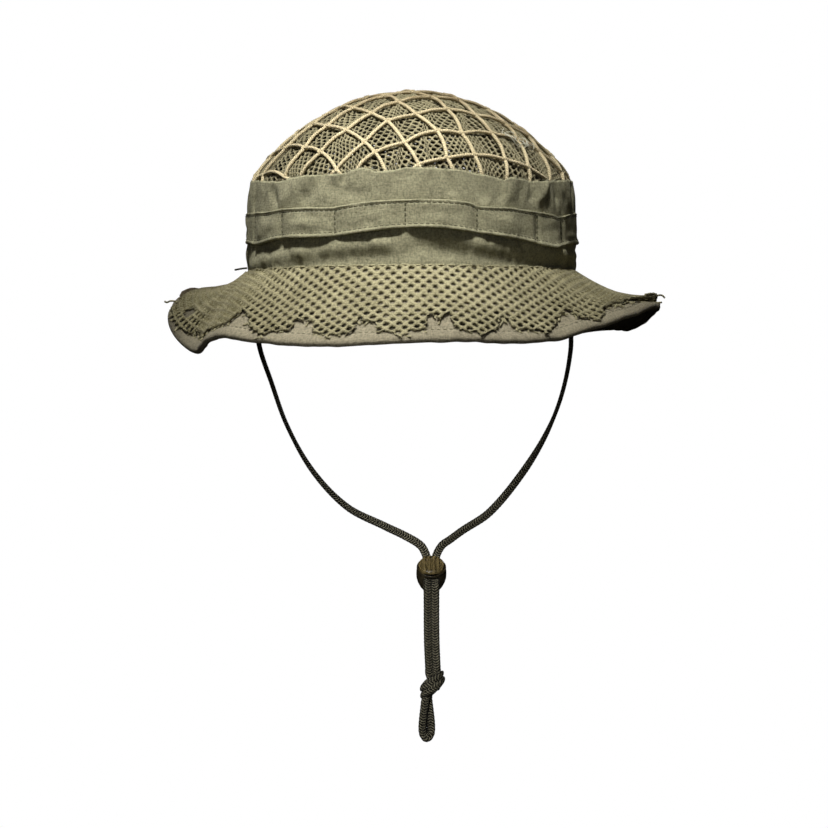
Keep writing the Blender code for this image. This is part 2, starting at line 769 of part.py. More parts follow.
def make_lock(hinge):
    rim = Vector(LOCK_RIM)
    lock = new_empty("cord_lock_place", rim - hinge.location, hinge, LOCK_TILT)
    bore_low = -BORE_DEPTH - BORE_HEIGHT / 2
    bore_high = -BORE_DEPTH + BORE_HEIGHT / 2
    profile = [(0.0, BARREL_INSIDE[0][1]), *BARREL_INSIDE, *BARREL_OUTSIDE]
    profile.append((0.0, BARREL_OUTSIDE[-1][1]))
    barrel = turned("cord_lock_barrel", profile, "lock_plastic", lock)
    cut(barrel, slot_cutter("barrel_bore_cutter", bore_low, bore_high, lock))
    top = BUTTON_OUTSIDE[0][1]
    profile = [(0.0, top), *BUTTON_OUTSIDE, (0.0, BUTTON_OUTSIDE[-1][1])]
    button = turned("cord_lock_button", profile, "lock_plastic", lock)
    cut(button, slot_cutter("button_bore_cutter", bore_low, bore_high + BUTTON_TRAVEL, lock))
    cut(button, groove_cutter(lock, top * MM))
    make_spring(lock)


def make_spring(lock):
    count = SPRING_TURNS * SPRING_POINTS_PER_TURN
    points = []
    for i in range(count + 1):
        swing = 2 * math.pi * i / SPRING_POINTS_PER_TURN
        z = SPRING_LOW + (SPRING_HIGH - SPRING_LOW) * i / count
        points.append(Vector((SPRING_RADIUS * math.cos(swing), SPRING_RADIUS * math.sin(swing), z)))
    apart = SPRING_POINTS_PER_TURN // 2
    nearest = min(
        (a - b).length for i, a in enumerate(points) for b in points[i + apart:]
    )
    print("spring gap to itself, mm", round((nearest - 2 * SPRING_WIRE_RADIUS) / MM, 2))
    tube("cord_lock_spring", points, SPRING_WIRE_RADIUS, "spring_steel", 1, lock)


def make_hat():
    make_cap()
    make_net()
    make_band()
    make_loop_band()
    for number, azimuth in enumerate(tack_azimuths(), 1):
        make_tack(number, azimuth)
    make_brim_top()
    make_brim_under()
    make_brim_mesh()
    make_sweatband()
    make_tab("cord_tab_left", -1)
    make_tab("cord_tab_right", 1)
    make_thread_end()


def make_chin_cord():
    hinge = new_empty("chin_cord_hinge", (0.0, 0.0, HINGE_HEIGHT))
    left = make_strand("chin_cord_left", -1, LEFT_RUN, hinge)
    right = make_strand("chin_cord_right", 1, RIGHT_RUN, hinge)
    knot = make_knot((left + right) / 2, hinge)
    make_loop_eye(knot, hinge)
    make_lock(hinge)


clear_scene()
parts = new_collection("boonie_hat")
cutters = new_collection("cutters")
make_hat()
make_chin_cord()
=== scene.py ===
# %% [markdown]
# # A boonie hat
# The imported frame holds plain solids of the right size. This lesson lays cloth, mesh, string and
# braid over them, one kind of piece at a time. Sizes are in metres; MM turns millimetres into them.
# An azimuth is measured from the front of the hat (-Y) towards the viewer's right (+X).

import math
import random

import bmesh
import bpy
import numpy as np
from mathutils import Matrix, Vector, noise


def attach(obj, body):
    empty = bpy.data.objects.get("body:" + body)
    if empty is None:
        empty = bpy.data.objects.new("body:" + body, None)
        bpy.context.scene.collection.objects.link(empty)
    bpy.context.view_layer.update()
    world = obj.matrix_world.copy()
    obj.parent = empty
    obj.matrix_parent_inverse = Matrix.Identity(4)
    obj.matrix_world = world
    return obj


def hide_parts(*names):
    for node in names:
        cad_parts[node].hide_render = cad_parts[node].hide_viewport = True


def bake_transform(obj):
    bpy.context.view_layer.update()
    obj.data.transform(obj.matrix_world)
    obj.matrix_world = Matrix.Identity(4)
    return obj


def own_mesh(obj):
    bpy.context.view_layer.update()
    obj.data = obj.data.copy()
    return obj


MM = 0.001
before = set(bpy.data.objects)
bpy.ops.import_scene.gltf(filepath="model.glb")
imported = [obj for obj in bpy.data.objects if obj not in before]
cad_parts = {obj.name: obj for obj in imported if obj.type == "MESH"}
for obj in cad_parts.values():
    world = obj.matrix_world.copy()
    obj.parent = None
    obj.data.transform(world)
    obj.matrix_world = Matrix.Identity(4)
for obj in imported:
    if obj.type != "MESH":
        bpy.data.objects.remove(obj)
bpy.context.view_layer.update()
scene = bpy.context.scene
print("frame", len(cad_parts), "nodes")

# %% [markdown]
# ## Camera
# A long lens at 1.7 m, level with the middle of the picture, gives the photograph's flat
# perspective. A short lens close by would swell the front of the brim.

# %% Camera
camera_data = bpy.data.cameras.new("camera")
camera_data.lens = 139.5
camera_data.sensor_width = 36.0
camera = bpy.data.objects.new("camera", camera_data)
camera.location = (1.3 * MM, -1.7, -73.7 * MM)
camera.rotation_euler = (math.radians(90), 0, 0)
scene.collection.objects.link(camera)
scene.camera = camera
scene.view_settings.view_transform = "Standard"
print("camera at", tuple(round(c, 4) for c in camera.location))

# %% [markdown]
# ## White surroundings
# The floor and the world look pure white to the camera but give back only a little light, so the
# inside of the crown stays dark. A Light Path node tells the two kinds of ray apart. A plain white
# room would be simpler, but it would light the hat from below.

# %% White surroundings
FLOOR_LEVEL = -262 * MM


def add_node(tree, kind, inputs=None, **settings):
    """Add a node; inputs maps a socket's name or number to a value or to another node's output."""
    made = tree.nodes.new(kind)
    for name, value in settings.items():
        setattr(made, name, value)
    for socket, value in (inputs or {}).items():
        if isinstance(value, bpy.types.NodeSocket):
            tree.links.new(value, made.inputs[socket])
        else:
            made.inputs[socket].default_value = value
    return made


def seen_straight(tree):
    """1 on rays from the camera, also those that glass passes on; 0 on rays that only light."""
    path = add_node(tree, "ShaderNodeLightPath")
    both = add_node(tree, "ShaderNodeMath", {0: path.outputs["Is Camera Ray"],
                    1: path.outputs["Is Transmission Ray"]}, operation="MAXIMUM")
    return both.outputs[0]


world = bpy.data.worlds.new("studio")
scene.world = world
world.use_nodes = True
tree = world.node_tree
tree.nodes.clear()
dim = add_node(tree, "ShaderNodeBackground", {"Color": (1.0, 0.95, 0.8, 1), "Strength": 0.028})
white = add_node(tree, "ShaderNodeBackground", {"Color": (1, 1, 1, 1), "Strength": 1.0})
mix = add_node(tree, "ShaderNodeMixShader", {0: seen_straight(tree), 1: dim.outputs[0],
               2: white.outputs[0]})
add_node(tree, "ShaderNodeOutputWorld", {0: mix.outputs[0]})

floor_mesh = bmesh.new()
bmesh.ops.create_grid(floor_mesh, x_segments=1, y_segments=1, size=4.0)
floor_data = bpy.data.meshes.new("floor")
floor_mesh.to_mesh(floor_data)
floor_mesh.free()
floor = bpy.data.objects.new("floor", floor_data)
floor.location.z = FLOOR_LEVEL
scene.collection.objects.link(floor)
floor_material = bpy.data.materials.new("floor")
floor_material.use_nodes = True
tree = floor_material.node_tree
tree.nodes.clear()
dull = add_node(tree, "ShaderNodeBsdfDiffuse", {"Color": (0.09, 0.086, 0.072, 1)})
glow = add_node(tree, "ShaderNodeEmission", {"Color": (1, 1, 1, 1), "Strength": 1.0})
mix = add_node(tree, "ShaderNodeMixShader", {0: seen_straight(tree), 1: dull.outputs[0],
               2: glow.outputs[0]})
add_node(tree, "ShaderNodeOutputMaterial", {0: mix.outputs[0]})
floor_data.materials.append(floor_material)
print("floor at", round(FLOOR_LEVEL, 4))

# %% [markdown]
# ## Lamps
# One lamp from above makes the shape: upper faces are bright and the sides of the crown fall off
# into shade. The others only lift the shadows, each in a soft cone: one from the front, one low on
# the cord, and one behind, which matters when the hat is turned round.

# %% Lamps

def add_lamp(name, place, target, radius, watts, cone):
    """A soft-edged lamp: full in the middle of its cone and fading to its rim."""
    data = bpy.data.lights.new(name, "SPOT")
    data.shadow_soft_size = radius
    data.spot_size = math.radians(cone)
    data.spot_blend = 1.0
    data.energy = watts
    lamp = bpy.data.objects.new(name, data)
    lamp.location = place
    lamp.rotation_euler = (Vector(target) - Vector(place)).to_track_quat("-Z", "Y").to_euler()
    scene.collection.objects.link(lamp)


add_lamp("key", (-0.1, -0.58, 1.0), (-0.015, -0.07, 0.02), 0.1, 146.0, 15.6)
add_lamp("front", (-0.2, -1.9, 0.2), (0, 0, -0.05), 0.25, 12.0, 40.0)
add_lamp("low", (-0.32, -1.05, 0.2), (0.01, 0, -0.19), 0.06, 32.0, 13.5)
add_lamp("back", (0.3, 1.9, 0.15), (0, 0, -0.05), 0.25, 16.0, 40.0)
print("lamps", len(bpy.data.lights))

# %% [markdown]
# ## Shared shading
# Weave, braid and wear are node groups that give only heights, masks and tints. Each material
# keeps its own Principled shader, so the same weave can serve several cloths. The groups read the
# UV map, which every mesh here stores in metres.

# %% Node groups for weave, braid, twist and wear


def new_group(name, inputs, outputs):
    group = bpy.data.node_groups.new(name, "ShaderNodeTree")
    for label, value in inputs:
        socket = group.interface.new_socket(label, in_out="INPUT", socket_type="NodeSocketFloat")
        socket.default_value = value
    for label in outputs:
        group.interface.new_socket(label, in_out="OUTPUT", socket_type="NodeSocketFloat")
    start = group.nodes.new("NodeGroupInput")
    end = group.nodes.new("NodeGroupOutput")
    return group, start, end


def calc(tree, operation, first, second=0.0, clamp=False):
    made = add_node(tree, "ShaderNodeMath", {0: first, 1: second}, operation=operation)
    made.use_clamp = clamp
    return made.outputs[0]


def uv_parts(tree):
    uv = add_node(tree, "ShaderNodeUVMap", uv_map="metres")
    parts = add_node(tree, "ShaderNodeSeparateXYZ", {0: uv.outputs[0]})
    return uv.outputs[0], parts.outputs[0], parts.outputs[1]


def rounded(tree, value):
    """A row of round ridges, one for each whole number: |sin(pi x)|."""
    turned = calc(tree, "MULTIPLY", value, math.pi)
    return calc(tree, "ABSOLUTE", calc(tree, "SINE", turned))


def make_weave_group():
    """Plain weave: threads run both ways and take turns to lie on top."""
    group, start, end = new_group("weave", [("Pitch", 0.0006)], ["Height", "Slub"])
    uv, u, v = uv_parts(group)
    x = calc(group, "DIVIDE", u, start.outputs["Pitch"])
    y = calc(group, "DIVIDE", v, start.outputs["Pitch"])
    both = calc(group, "ADD", calc(group, "FLOOR", x), calc(group, "FLOOR", y))
    turn = calc(group, "MODULO", calc(group, "ABSOLUTE", both), 2.0)
    warp = calc(group, "MULTIPLY", rounded(group, x), turn)
    other = calc(group, "SUBTRACT", 1.0, turn)
    weft = calc(group, "MULTIPLY", rounded(group, y), other)
    group.links.new(calc(group, "ADD", warp, weft), end.inputs["Height"])
    streaks = []
    for stretch in ((260.0, 1700.0, 1.0), (1700.0, 260.0, 1.0)):
        scaled = add_node(group, "ShaderNodeMapping", {"Vector": uv, "Scale": stretch})
        grain = add_node(group, "ShaderNodeTexNoise", {"Vector": scaled.outputs[0], "Scale": 1.0,
                         "Detail": 2.0})
        streaks.append(grain.outputs[0])
    group.links.new(calc(group, "MULTIPLY", calc(group, "ADD", *streaks), 0.5), end.inputs["Slub"])
    return group


def make_braid_group():
    """Strands slant from both edges of a flat cord to the middle of its flat sides."""
    group, start, end = new_group("braid", [("Pitch", 0.0014), ("Slant", 1.3)], ["Height"])
    uv, u, v = uv_parts(group)
    along = calc(group, "DIVIDE", v, start.outputs["Pitch"])
    lap = calc(group, "FRACT", calc(group, "MULTIPLY", u, 2.0))
    from_middle = calc(group, "ABSOLUTE", calc(group, "SUBTRACT", lap, 0.5))
    from_middle = calc(group, "MULTIPLY", from_middle, 2.0)
    slant = calc(group, "MULTIPLY", from_middle, start.outputs["Slant"])
    strand = rounded(group, calc(group, "ADD", along, slant))
    dip = calc(group, "ADD", calc(group, "MULTIPLY", rounded(group, calc(group, "ADD", from_middle, 0.2)),
                                  0.45), 0.55)
    group.links.new(calc(group, "MULTIPLY", strand, dip), end.inputs["Height"])
    return group


def make_twist_group():
    """Fibres that run round a string on a slant."""
    group, start, end = new_group("twist", [("Pitch", 0.0016)], ["Height"])
    uv, u, v = uv_parts(group)
    along = calc(group, "DIVIDE", v, start.outputs["Pitch"])
    slant = calc(group, "ADD", along, calc(group, "MULTIPLY", u, 3.0))
    fibre = add_node(group, "ShaderNodeTexNoise", {"Scale": 2200.0, "Detail": 2.0})
    ridge = calc(group, "MULTIPLY", rounded(group, slant), 0.7)
    group.links.new(calc(group, "ADD", ridge, calc(group, "MULTIPLY", fibre.outputs[0], 0.5)),
                    end.inputs["Height"])
    return group


def make_wear_group():
    """Broad fading, small specks and a mottled mask, from the place on the object."""
    group, start, end = new_group("wear", [("Scale", 26.0)], ["Fade", "Speck", "Mottle"])
    place = add_node(group, "ShaderNodeTexCoord")
    for label, times, detail in (("Fade", 1.0, 3.0), ("Mottle", 6.0, 4.0), ("Speck", 40.0, 2.0)):
        size = calc(group, "MULTIPLY", start.outputs["Scale"], times)
        grain = add_node(group, "ShaderNodeTexNoise", {"Vector": place.outputs["Object"],
                         "Scale": size, "Detail": detail})
        group.links.new(grain.outputs[0], end.inputs[label])
    return group


groups = {
    "weave": make_weave_group(),
    "braid": make_braid_group(),
    "twist": make_twist_group(),
    "wear": make_wear_group(),
}
print("node groups", sorted(groups))

# %% [markdown]
# ## Kinds of material
# Each cloth starts from a dark and a light shade of its dye and lets wear, slubs and thread height
# move between them. Bump comes from the same height, so colour and relief agree. A function for each
# kind of material keeps the node work in one place.

# %% Kinds of material


def use_group(tree, name, **values):
    made = add_node(tree, "ShaderNodeGroup")
    made.node_tree = groups[name]
    for label, value in values.items():
        made.inputs[label].default_value = value
    return made


def blend_colours(tree, factor, dark, light):
    ramp = add_node(tree, "ShaderNodeMix", data_type="RGBA")
    for socket, value in ((0, factor), (6, dark), (7, light)):
        if isinstance(value, bpy.types.NodeSocket):
            tree.links.new(value, ramp.inputs[socket])
        else:
            ramp.inputs[socket].default_value = (*value, 1.0) if socket else value
    return ramp.outputs[2]


def stretch(tree, value, low, high):
    made = add_node(tree, "ShaderNodeMapRange", {"Value": value, "From Min": low, "From Max": high})
    return made.outputs[0]


def start_material(name, roughness, sheen=0.0):
    material = bpy.data.materials.new(name)
    material.use_nodes = True
    tree = material.node_tree
    shader = tree.nodes["Principled BSDF"]
    shader.inputs["Roughness"].default_value = roughness
    shader.inputs["Specular IOR Level"].default_value = 0.15
    if sheen:
        shader.inputs["Sheen Weight"].default_value = sheen
        shader.inputs["Sheen Roughness"].default_value = 0.5
    return material, tree, shader


def add_bump(tree, shader, height, distance, strength=1.0):
    bump = add_node(tree, "ShaderNodeBump", {"Height": height, "Distance": distance,
                    "Strength": strength})
    tree.links.new(bump.outputs[0], shader.inputs["Normal"])


def cloth_material(name, dark, light, pitch=0.0006, relief=0.00016):
    """Woven cloth. Where a sheet carries the value hollow, painted shadow darkens it: the shade under a mesh
    that lies over it.
    """
    material, tree, shader = start_material(name, 0.92, 0.04)
    weave = use_group(tree, "weave", Pitch=pitch)
    wear = use_group(tree, "wear", Scale=22.0)
    slub = stretch(tree, weave.outputs["Slub"], 0.38, 0.62)
    fade = stretch(tree, wear.outputs["Fade"], 0.3, 0.7)
    mottle = stretch(tree, wear.outputs["Mottle"], 0.25, 0.75)
    speck = stretch(tree, wear.outputs["Speck"], 0.3, 0.7)
    tone = calc(tree, "MULTIPLY", weave.outputs["Height"], 0.16)
    for part, weight in ((slub, 0.26), (speck, 0.42), (fade, 0.14), (mottle, 0.14)):
        tone = calc(tree, "ADD", tone, calc(tree, "MULTIPLY", part, weight))
    tone = calc(tree, "SUBTRACT", tone, 0.09, clamp=True)
    # Painted shadow: hollow pulls the colour towards a third of the dark shade where a mesh lies over the
    # cloth.
    hollow = add_node(tree, "ShaderNodeAttribute", attribute_name="hollow")
    shaded_colour = blend_colours(tree, calc(tree, "MULTIPLY", hollow.outputs["Fac"], 0.8),
                          blend_colours(tree, tone, dark, light), tuple(0.3 * c for c in dark))
    tree.links.new(shaded_colour, shader.inputs["Base Color"])
    height = calc(tree, "ADD", weave.outputs["Height"], calc(tree, "MULTIPLY", slub, 0.8))
    add_bump(tree, shader, height, relief)
    return material


def stain(tree, colour):
    """Brown dust that has settled on the top of the crown and towards its right."""
    place = add_node(tree, "ShaderNodeTexCoord").outputs["Object"]
    parts = add_node(tree, "ShaderNodeSeparateXYZ", {0: place})
    top = stretch(tree, parts.outputs[2], 0.076, 0.094)
    right = calc(tree, "MULTIPLY", stretch(tree, parts.outputs[0], 0.015, 0.06),
                 stretch(tree, parts.outputs[2], 0.052, 0.075))
    patchy = add_node(tree, "ShaderNodeTexNoise", {"Vector": place, "Scale": 90.0, "Detail": 3.0})
    amount = calc(tree, "MULTIPLY", calc(tree, "MAXIMUM", top, right),
                  stretch(tree, patchy.outputs[0], 0.25, 0.8), clamp=True)
    return blend_colours(tree, amount, colour, (0.17, 0.105, 0.035))


def yarn_material(name, dark, light, relief=0.0002, pitch=0.0016, twisted=0.4, stained=False):
    """Yarn of one dye. The mesh sheets carry a value, hollow, that is 1 at the edge of a hole and darkens the
    yarn there: painted shade.
    """
    material, tree, shader = start_material(name, 0.9, 0.05)
    twist = use_group(tree, "twist", Pitch=pitch)
    wear = use_group(tree, "wear", Scale=40.0)
    hollow = add_node(tree, "ShaderNodeAttribute", attribute_name="hollow")
    tone = calc(tree, "MULTIPLY", twist.outputs[0], twisted)
    rest = 0.9 - twisted
    speck = stretch(tree, wear.outputs["Speck"], 0.36, 0.64)
    fade, mottle = (stretch(tree, wear.outputs[part], 0.3, 0.7) for part in ("Fade", "Mottle"))
    for value, weight in ((fade, 0.4), (mottle, 0.3), (speck, 0.5)):
        tone = calc(tree, "ADD", tone, calc(tree, "MULTIPLY", value, weight * rest))
    # Painted shade: hollow darkens the yarn at the edges of holes and, on the brim, towards its sides.
    tone = calc(tree, "SUBTRACT", tone, calc(tree, "MULTIPLY", hollow.outputs["Fac"], 0.5), clamp=True)
    colour = blend_colours(tree, tone, dark, light)
    if stained:
        colour = stain(tree, colour)
    tree.links.new(colour, shader.inputs["Base Color"])
    add_bump(tree, shader, calc(tree, "ADD", twist.outputs[0], speck), relief)
    return material


def highlit_braid_material(name, dark, light):
    """Braid. The strand crests are painted light on a nearly black cord: painted highlight.
    Where a cord carries the value hollow, its inner side is painted dark: painted shade.
    """
    material, tree, shader = start_material(name, 0.6, 0.05)
    braid = use_group(tree, "braid")
    wear = use_group(tree, "wear", Scale=60.0)
    speck = stretch(tree, wear.outputs["Speck"], 0.35, 0.65)
    speck = calc(tree, "ADD", calc(tree, "MULTIPLY", speck, 0.35), 0.65)
    hollow = add_node(tree, "ShaderNodeAttribute", attribute_name="hollow")
    speck = calc(tree, "MULTIPLY", speck, calc(tree, "SUBTRACT", 1.0, hollow.outputs["Fac"]))
    # Painted highlight: the strand crests are lightened towards the light shade.
    tone = calc(tree, "MULTIPLY", calc(tree, "POWER", braid.outputs["Height"], 3.0), speck, clamp=True)
    tree.links.new(blend_colours(tree, tone, dark, light), shader.inputs["Base Color"])
    add_bump(tree, shader, braid.outputs["Height"], 0.0003)
    return material


def groove_shade_mask(tree):
    """Painted shade in the grooves of the button's face, which lie 2.45 mm apart: 1 in a groove and 0
    elsewhere.
    """
    place = add_node(tree, "ShaderNodeTexCoord").outputs["Object"]
    across = add_node(tree, "ShaderNodeSeparateXYZ", {0: place}).outputs[0]
    step = calc(tree, "FRACT", calc(tree, "DIVIDE", calc(tree, "SUBTRACT", across, 0.0105), 0.00245))
    near = calc(tree, "MULTIPLY", calc(tree, "ABSOLUTE", calc(tree, "SUBTRACT", step, 0.5)), 2.0)
    height = add_node(tree, "ShaderNodeVectorMath", {0: place, 1: (0.0, -0.6428, 0.766)},
                      operation="DOT_PRODUCT").outputs["Value"]
    face = stretch(tree, height, -0.1157, -0.115)
    return calc(tree, "MULTIPLY", stretch(tree, near, 0.5, 0.85), face)


def lock_material(name, dark, light, roughness=0.34, ribbed=False):
    material, tree, shader = start_material(name, roughness)
    wear = use_group(tree, "wear", Scale=90.0)
    colour = blend_colours(tree, stretch(tree, wear.outputs["Mottle"], 0.35, 0.7), dark, light)
    if ribbed:
        # Painted shade: the grooves are darkened towards a quarter of the dark shade.
        groove_shade = calc(tree, "MULTIPLY", groove_shade_mask(tree), 0.75)
        colour = blend_colours(tree, groove_shade, colour, tuple(0.25 * c for c in dark))
    tree.links.new(colour, shader.inputs["Base Color"])
    rough = stretch(tree, wear.outputs["Speck"], 0.2, 0.9)
    rough = calc(tree, "ADD", calc(tree, "MULTIPLY", rough, 0.16), roughness - 0.06)
    tree.links.new(rough, shader.inputs["Roughness"])
    shader.inputs["Specular IOR Level"].default_value = 0.5
    add_bump(tree, shader, wear.outputs["Mottle"], 0.00004)
    return material


def steel_material(name):
    material, tree, shader = start_material(name, 0.35)
    wear = use_group(tree, "wear", Scale=200.0)
    tree.links.new(blend_colours(tree, wear.outputs["Fade"], (0.42, 0.41, 0.4), (0.62, 0.62, 0.62)),
                   shader.inputs["Base Color"])
    shader.inputs["Metallic"].default_value = 1.0
    add_bump(tree, shader, wear.outputs["Speck"], 0.00002)
    return material


print("kinds of material: cloth, yarn, braid, moulded plastic and steel")

# %% [markdown]
# ## The hat's own shades
# Every piece has its own pair of shades, dark and light, as linear colour. The net is undyed string
# and the cord is nearly black. The cloth under the brim, inside the crown and in the rolled hem, and
# the lock's barrel, are darker copies of the cloth or plastic beside them: painted shade.

# %% The hat's own shades
band_cloth = cloth_material("band_cloth", (0.11, 0.104, 0.06), (0.49, 0.46, 0.285))
brim_cloth = cloth_material("brim_cloth", (0.125, 0.11, 0.067), (0.42, 0.373, 0.255))
# Painted shade: the brim's underside is a darker copy of the brim's cloth.
shaded_under_cloth = cloth_material("shaded_under_cloth", (0.05, 0.045, 0.03), (0.13, 0.115, 0.08))
# Painted shade: the rolled hem at the left is a darker copy of the brim's cloth, for the shade it lies in.
shaded_roll_cloth = cloth_material("shaded_roll_cloth", (0.10, 0.075, 0.04), (0.25, 0.2, 0.125))
# Painted shade: the sweatband and the cord tabs are darker than the band, for the shade inside the crown.
shaded_inner_cloth = cloth_material("shaded_inner_cloth", (0.06, 0.06, 0.04), (0.15, 0.145, 0.1))
brim_yarn = yarn_material("brim_yarn", (0.11, 0.096, 0.044), (0.49, 0.446, 0.265), twisted=0.25)
dome_yarn = yarn_material("dome_yarn", (0.055, 0.046, 0.02), (0.45, 0.4, 0.235), twisted=0.25)
net_string = yarn_material("net_string", (0.27, 0.205, 0.09), (0.84, 0.72, 0.455), 0.0003, 0.0014, 0.7,
                           stained=True)
hem_thread = yarn_material("hem_thread", (0.05, 0.046, 0.026), (0.17, 0.158, 0.095), 0.0001, 0.0008)
fray_thread = yarn_material("fray_thread", (0.17, 0.17, 0.105), (0.38, 0.37, 0.25), 0.00005, 0.0008)
pale_thread = yarn_material("pale_thread", (0.36, 0.34, 0.25), (0.58, 0.56, 0.43), 0.00005, 0.0008)
# Painted highlight: the braid's strand crests are lightened towards the light shade.
cord_braid = highlit_braid_material("cord_braid", (0.004, 0.0035, 0.002), (0.25, 0.23, 0.155))
lock_plastic = lock_material("lock_plastic", (0.125, 0.092, 0.034), (0.22, 0.166, 0.068), 0.34, ribbed=True)
# Painted shade: the barrel is a darker copy of the button's plastic.
shaded_barrel_plastic = lock_material("shaded_barrel_plastic", (0.02, 0.0155, 0.008), (0.055, 0.044, 0.022), 0.32)
spring_steel = steel_material("spring_steel")
print("materials", len(bpy.data.materials))

# %% [markdown]
# ## Building blocks
# Most pieces are either a tube swept along a line or a sheet of rings. Skin collects such patches
# with their UVs, so many small tubes (stitches, strings, threads) can be one object.

# %% Sweeps, sheets and object helpers


class Skin:
    """Vertices, faces and corner UVs gathered for one object."""

    def __init__(self):
        self.verts = []
        self.faces = []
        self.uvs = []

    def add(self, verts, faces, uvs):
        base = len(self.verts)
        self.verts.extend(map(tuple, verts))
        self.faces.extend([tuple(base + i for i in face) for face in faces])
        self.uvs.extend(uvs)

    def build(self, name, material):
        data = bpy.data.meshes.new(name)
        data.from_pydata(self.verts, [], self.faces)
        layer = data.uv_layers.new(name="metres")
        layer.data.foreach_set("uv", np.array(self.uvs, np.float32).ravel())
        data.validate()
        data.materials.append(material)
        data.shade_smooth()
        item = bpy.data.objects.new(name, data)
        scene.collection.objects.link(item)
        return item


def settle(item, body, slot, *nodes):
    """The piece rides on a body and stands for CAD nodes, which it hides. slot is not used."""
    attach(item, body)
    if nodes:
        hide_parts(*nodes)
    return item


def unit(rows):
    rows = np.asarray(rows, float)
    size = np.linalg.norm(rows, axis=-1, keepdims=True)
    return rows / np.maximum(size, 1e-12)


def hermite(start, end, start_slope, end_slope, share):
    square = share * share
    cube = square * share
    return (start * (2 * cube - 3 * square + 1) + start_slope * (cube - 2 * square + share)
            + end * (3 * square - 2 * cube) + end_slope * (cube - square))


def smooth_line(points, step):
    """Points about a step apart on the smooth curve through the given points."""
    points = np.asarray(points, float)
    ends = np.vstack([2 * points[0] - points[1], points, 2 * points[-1] - points[-2]])
    line = [points[0]]
    for p0, p1, p2, p3 in zip(ends, ends[1:], ends[2:], ends[3:]):
        span = np.linalg.norm(p2 - p1)
        slope_1 = (p2 - p0) * span / (np.linalg.norm(p1 - p0) + span)
        slope_2 = (p3 - p1) * span / (np.linalg.norm(p3 - p2) + span)
        count = max(1, round(span / step))
        line += [hermite(p1, p2, slope_1, slope_2, i / count) for i in range(1, count + 1)]
    return np.array(line)


def distances(line):
    steps = np.linalg.norm(np.diff(line, axis=0), axis=1)
    return np.concatenate([[0.0], np.cumsum(steps)])


def sweep(skin, line, across, section):
    """Skin a closed tube along a line. across is the section's first axis at each point; section is
    an array of (first, second) offsets, the same for all points or one for each."""
    line = np.asarray(line, float)
    run = unit(np.gradient(line, axis=0))
    across = np.broadcast_to(np.asarray(across, float), line.shape)
    across = unit(across - run * np.sum(across * run, axis=1, keepdims=True))
    second = np.cross(run, across)
    section = np.broadcast_to(section, (len(line),) + np.shape(section)[-2:])
    rings = (line[:, None, :] + across[:, None, :] * section[:, :, :1]
             + second[:, None, :] * section[:, :, 1:])
    count, sides = rings.shape[:2]
    verts = np.vstack([rings.reshape(-1, 3), line[:1], line[-1:]])
    far = distances(line)
    faces = []
    uvs = []
    for i in range(count - 1):
        for j in range(sides):
            k = (j + 1) % sides
            faces.append((i * sides + j, i * sides + k, (i + 1) * sides + k, (i + 1) * sides + j))
            low, high = j / sides, (j + 1) / sides
            uvs += [(low, far[i]), (high, far[i]), (high, far[i + 1]), (low, far[i + 1])]
    first, last = count * sides, count * sides + 1
    top = (count - 1) * sides
    for j in range(sides):
        k = (j + 1) % sides
        faces.append((first, k, j))
        faces.append((last, top + j, top + k))
        uvs += [(0.0, 0.0)] * 3 + [(0.0, far[-1])] * 3
    skin.add(verts, faces, uvs)


def oval_section(wide, thin, sides):
    turn = np.arange(sides) * 2 * math.pi / sides
    return np.stack([wide * np.cos(turn), thin * np.sin(turn)], axis=1)


def ring_sheet(skin, rows, uv_rows):
    """A sheet of closed rings: rows has shape (rings, points, 3), uv_rows (rings, points + 1, 2)."""
    count, points = rows.shape[:2]
    faces = []
    uvs = []
    for i in range(count - 1):
        for j in range(points):
            k = (j + 1) % points
            faces.append((i * points + j, i * points + k, (i + 1) * points + k, (i + 1) * points + j))
            uvs += [tuple(uv_rows[i, j]), tuple(uv_rows[i, j + 1]),
                    tuple(uv_rows[i + 1, j + 1]), tuple(uv_rows[i + 1, j])]
    skin.add(rows.reshape(-1, 3), faces, uvs)


def thicken(item, thickness):
    """Give a sheet its thickness, inwards from the face that was modelled."""
    solid = item.modifiers.new("thickness", "SOLIDIFY")
    solid.thickness = thickness
    solid.offset = -1.0
    return item


def grain(x, y, z=0.0):
    return noise.noise(Vector((x, y, z)))


print("building blocks: sweep, ring_sheet, thicken")

# %% [markdown]
# ## Chin cord
# A cord has a fixed length, so its route comes first: down from each tab, in a slack V to the cord
# lock, through the lock's bore, and straight down to the knot. The braid is flat, and it turns as it
# hangs: nearly edge on along the V, and flat to the front below the lock.

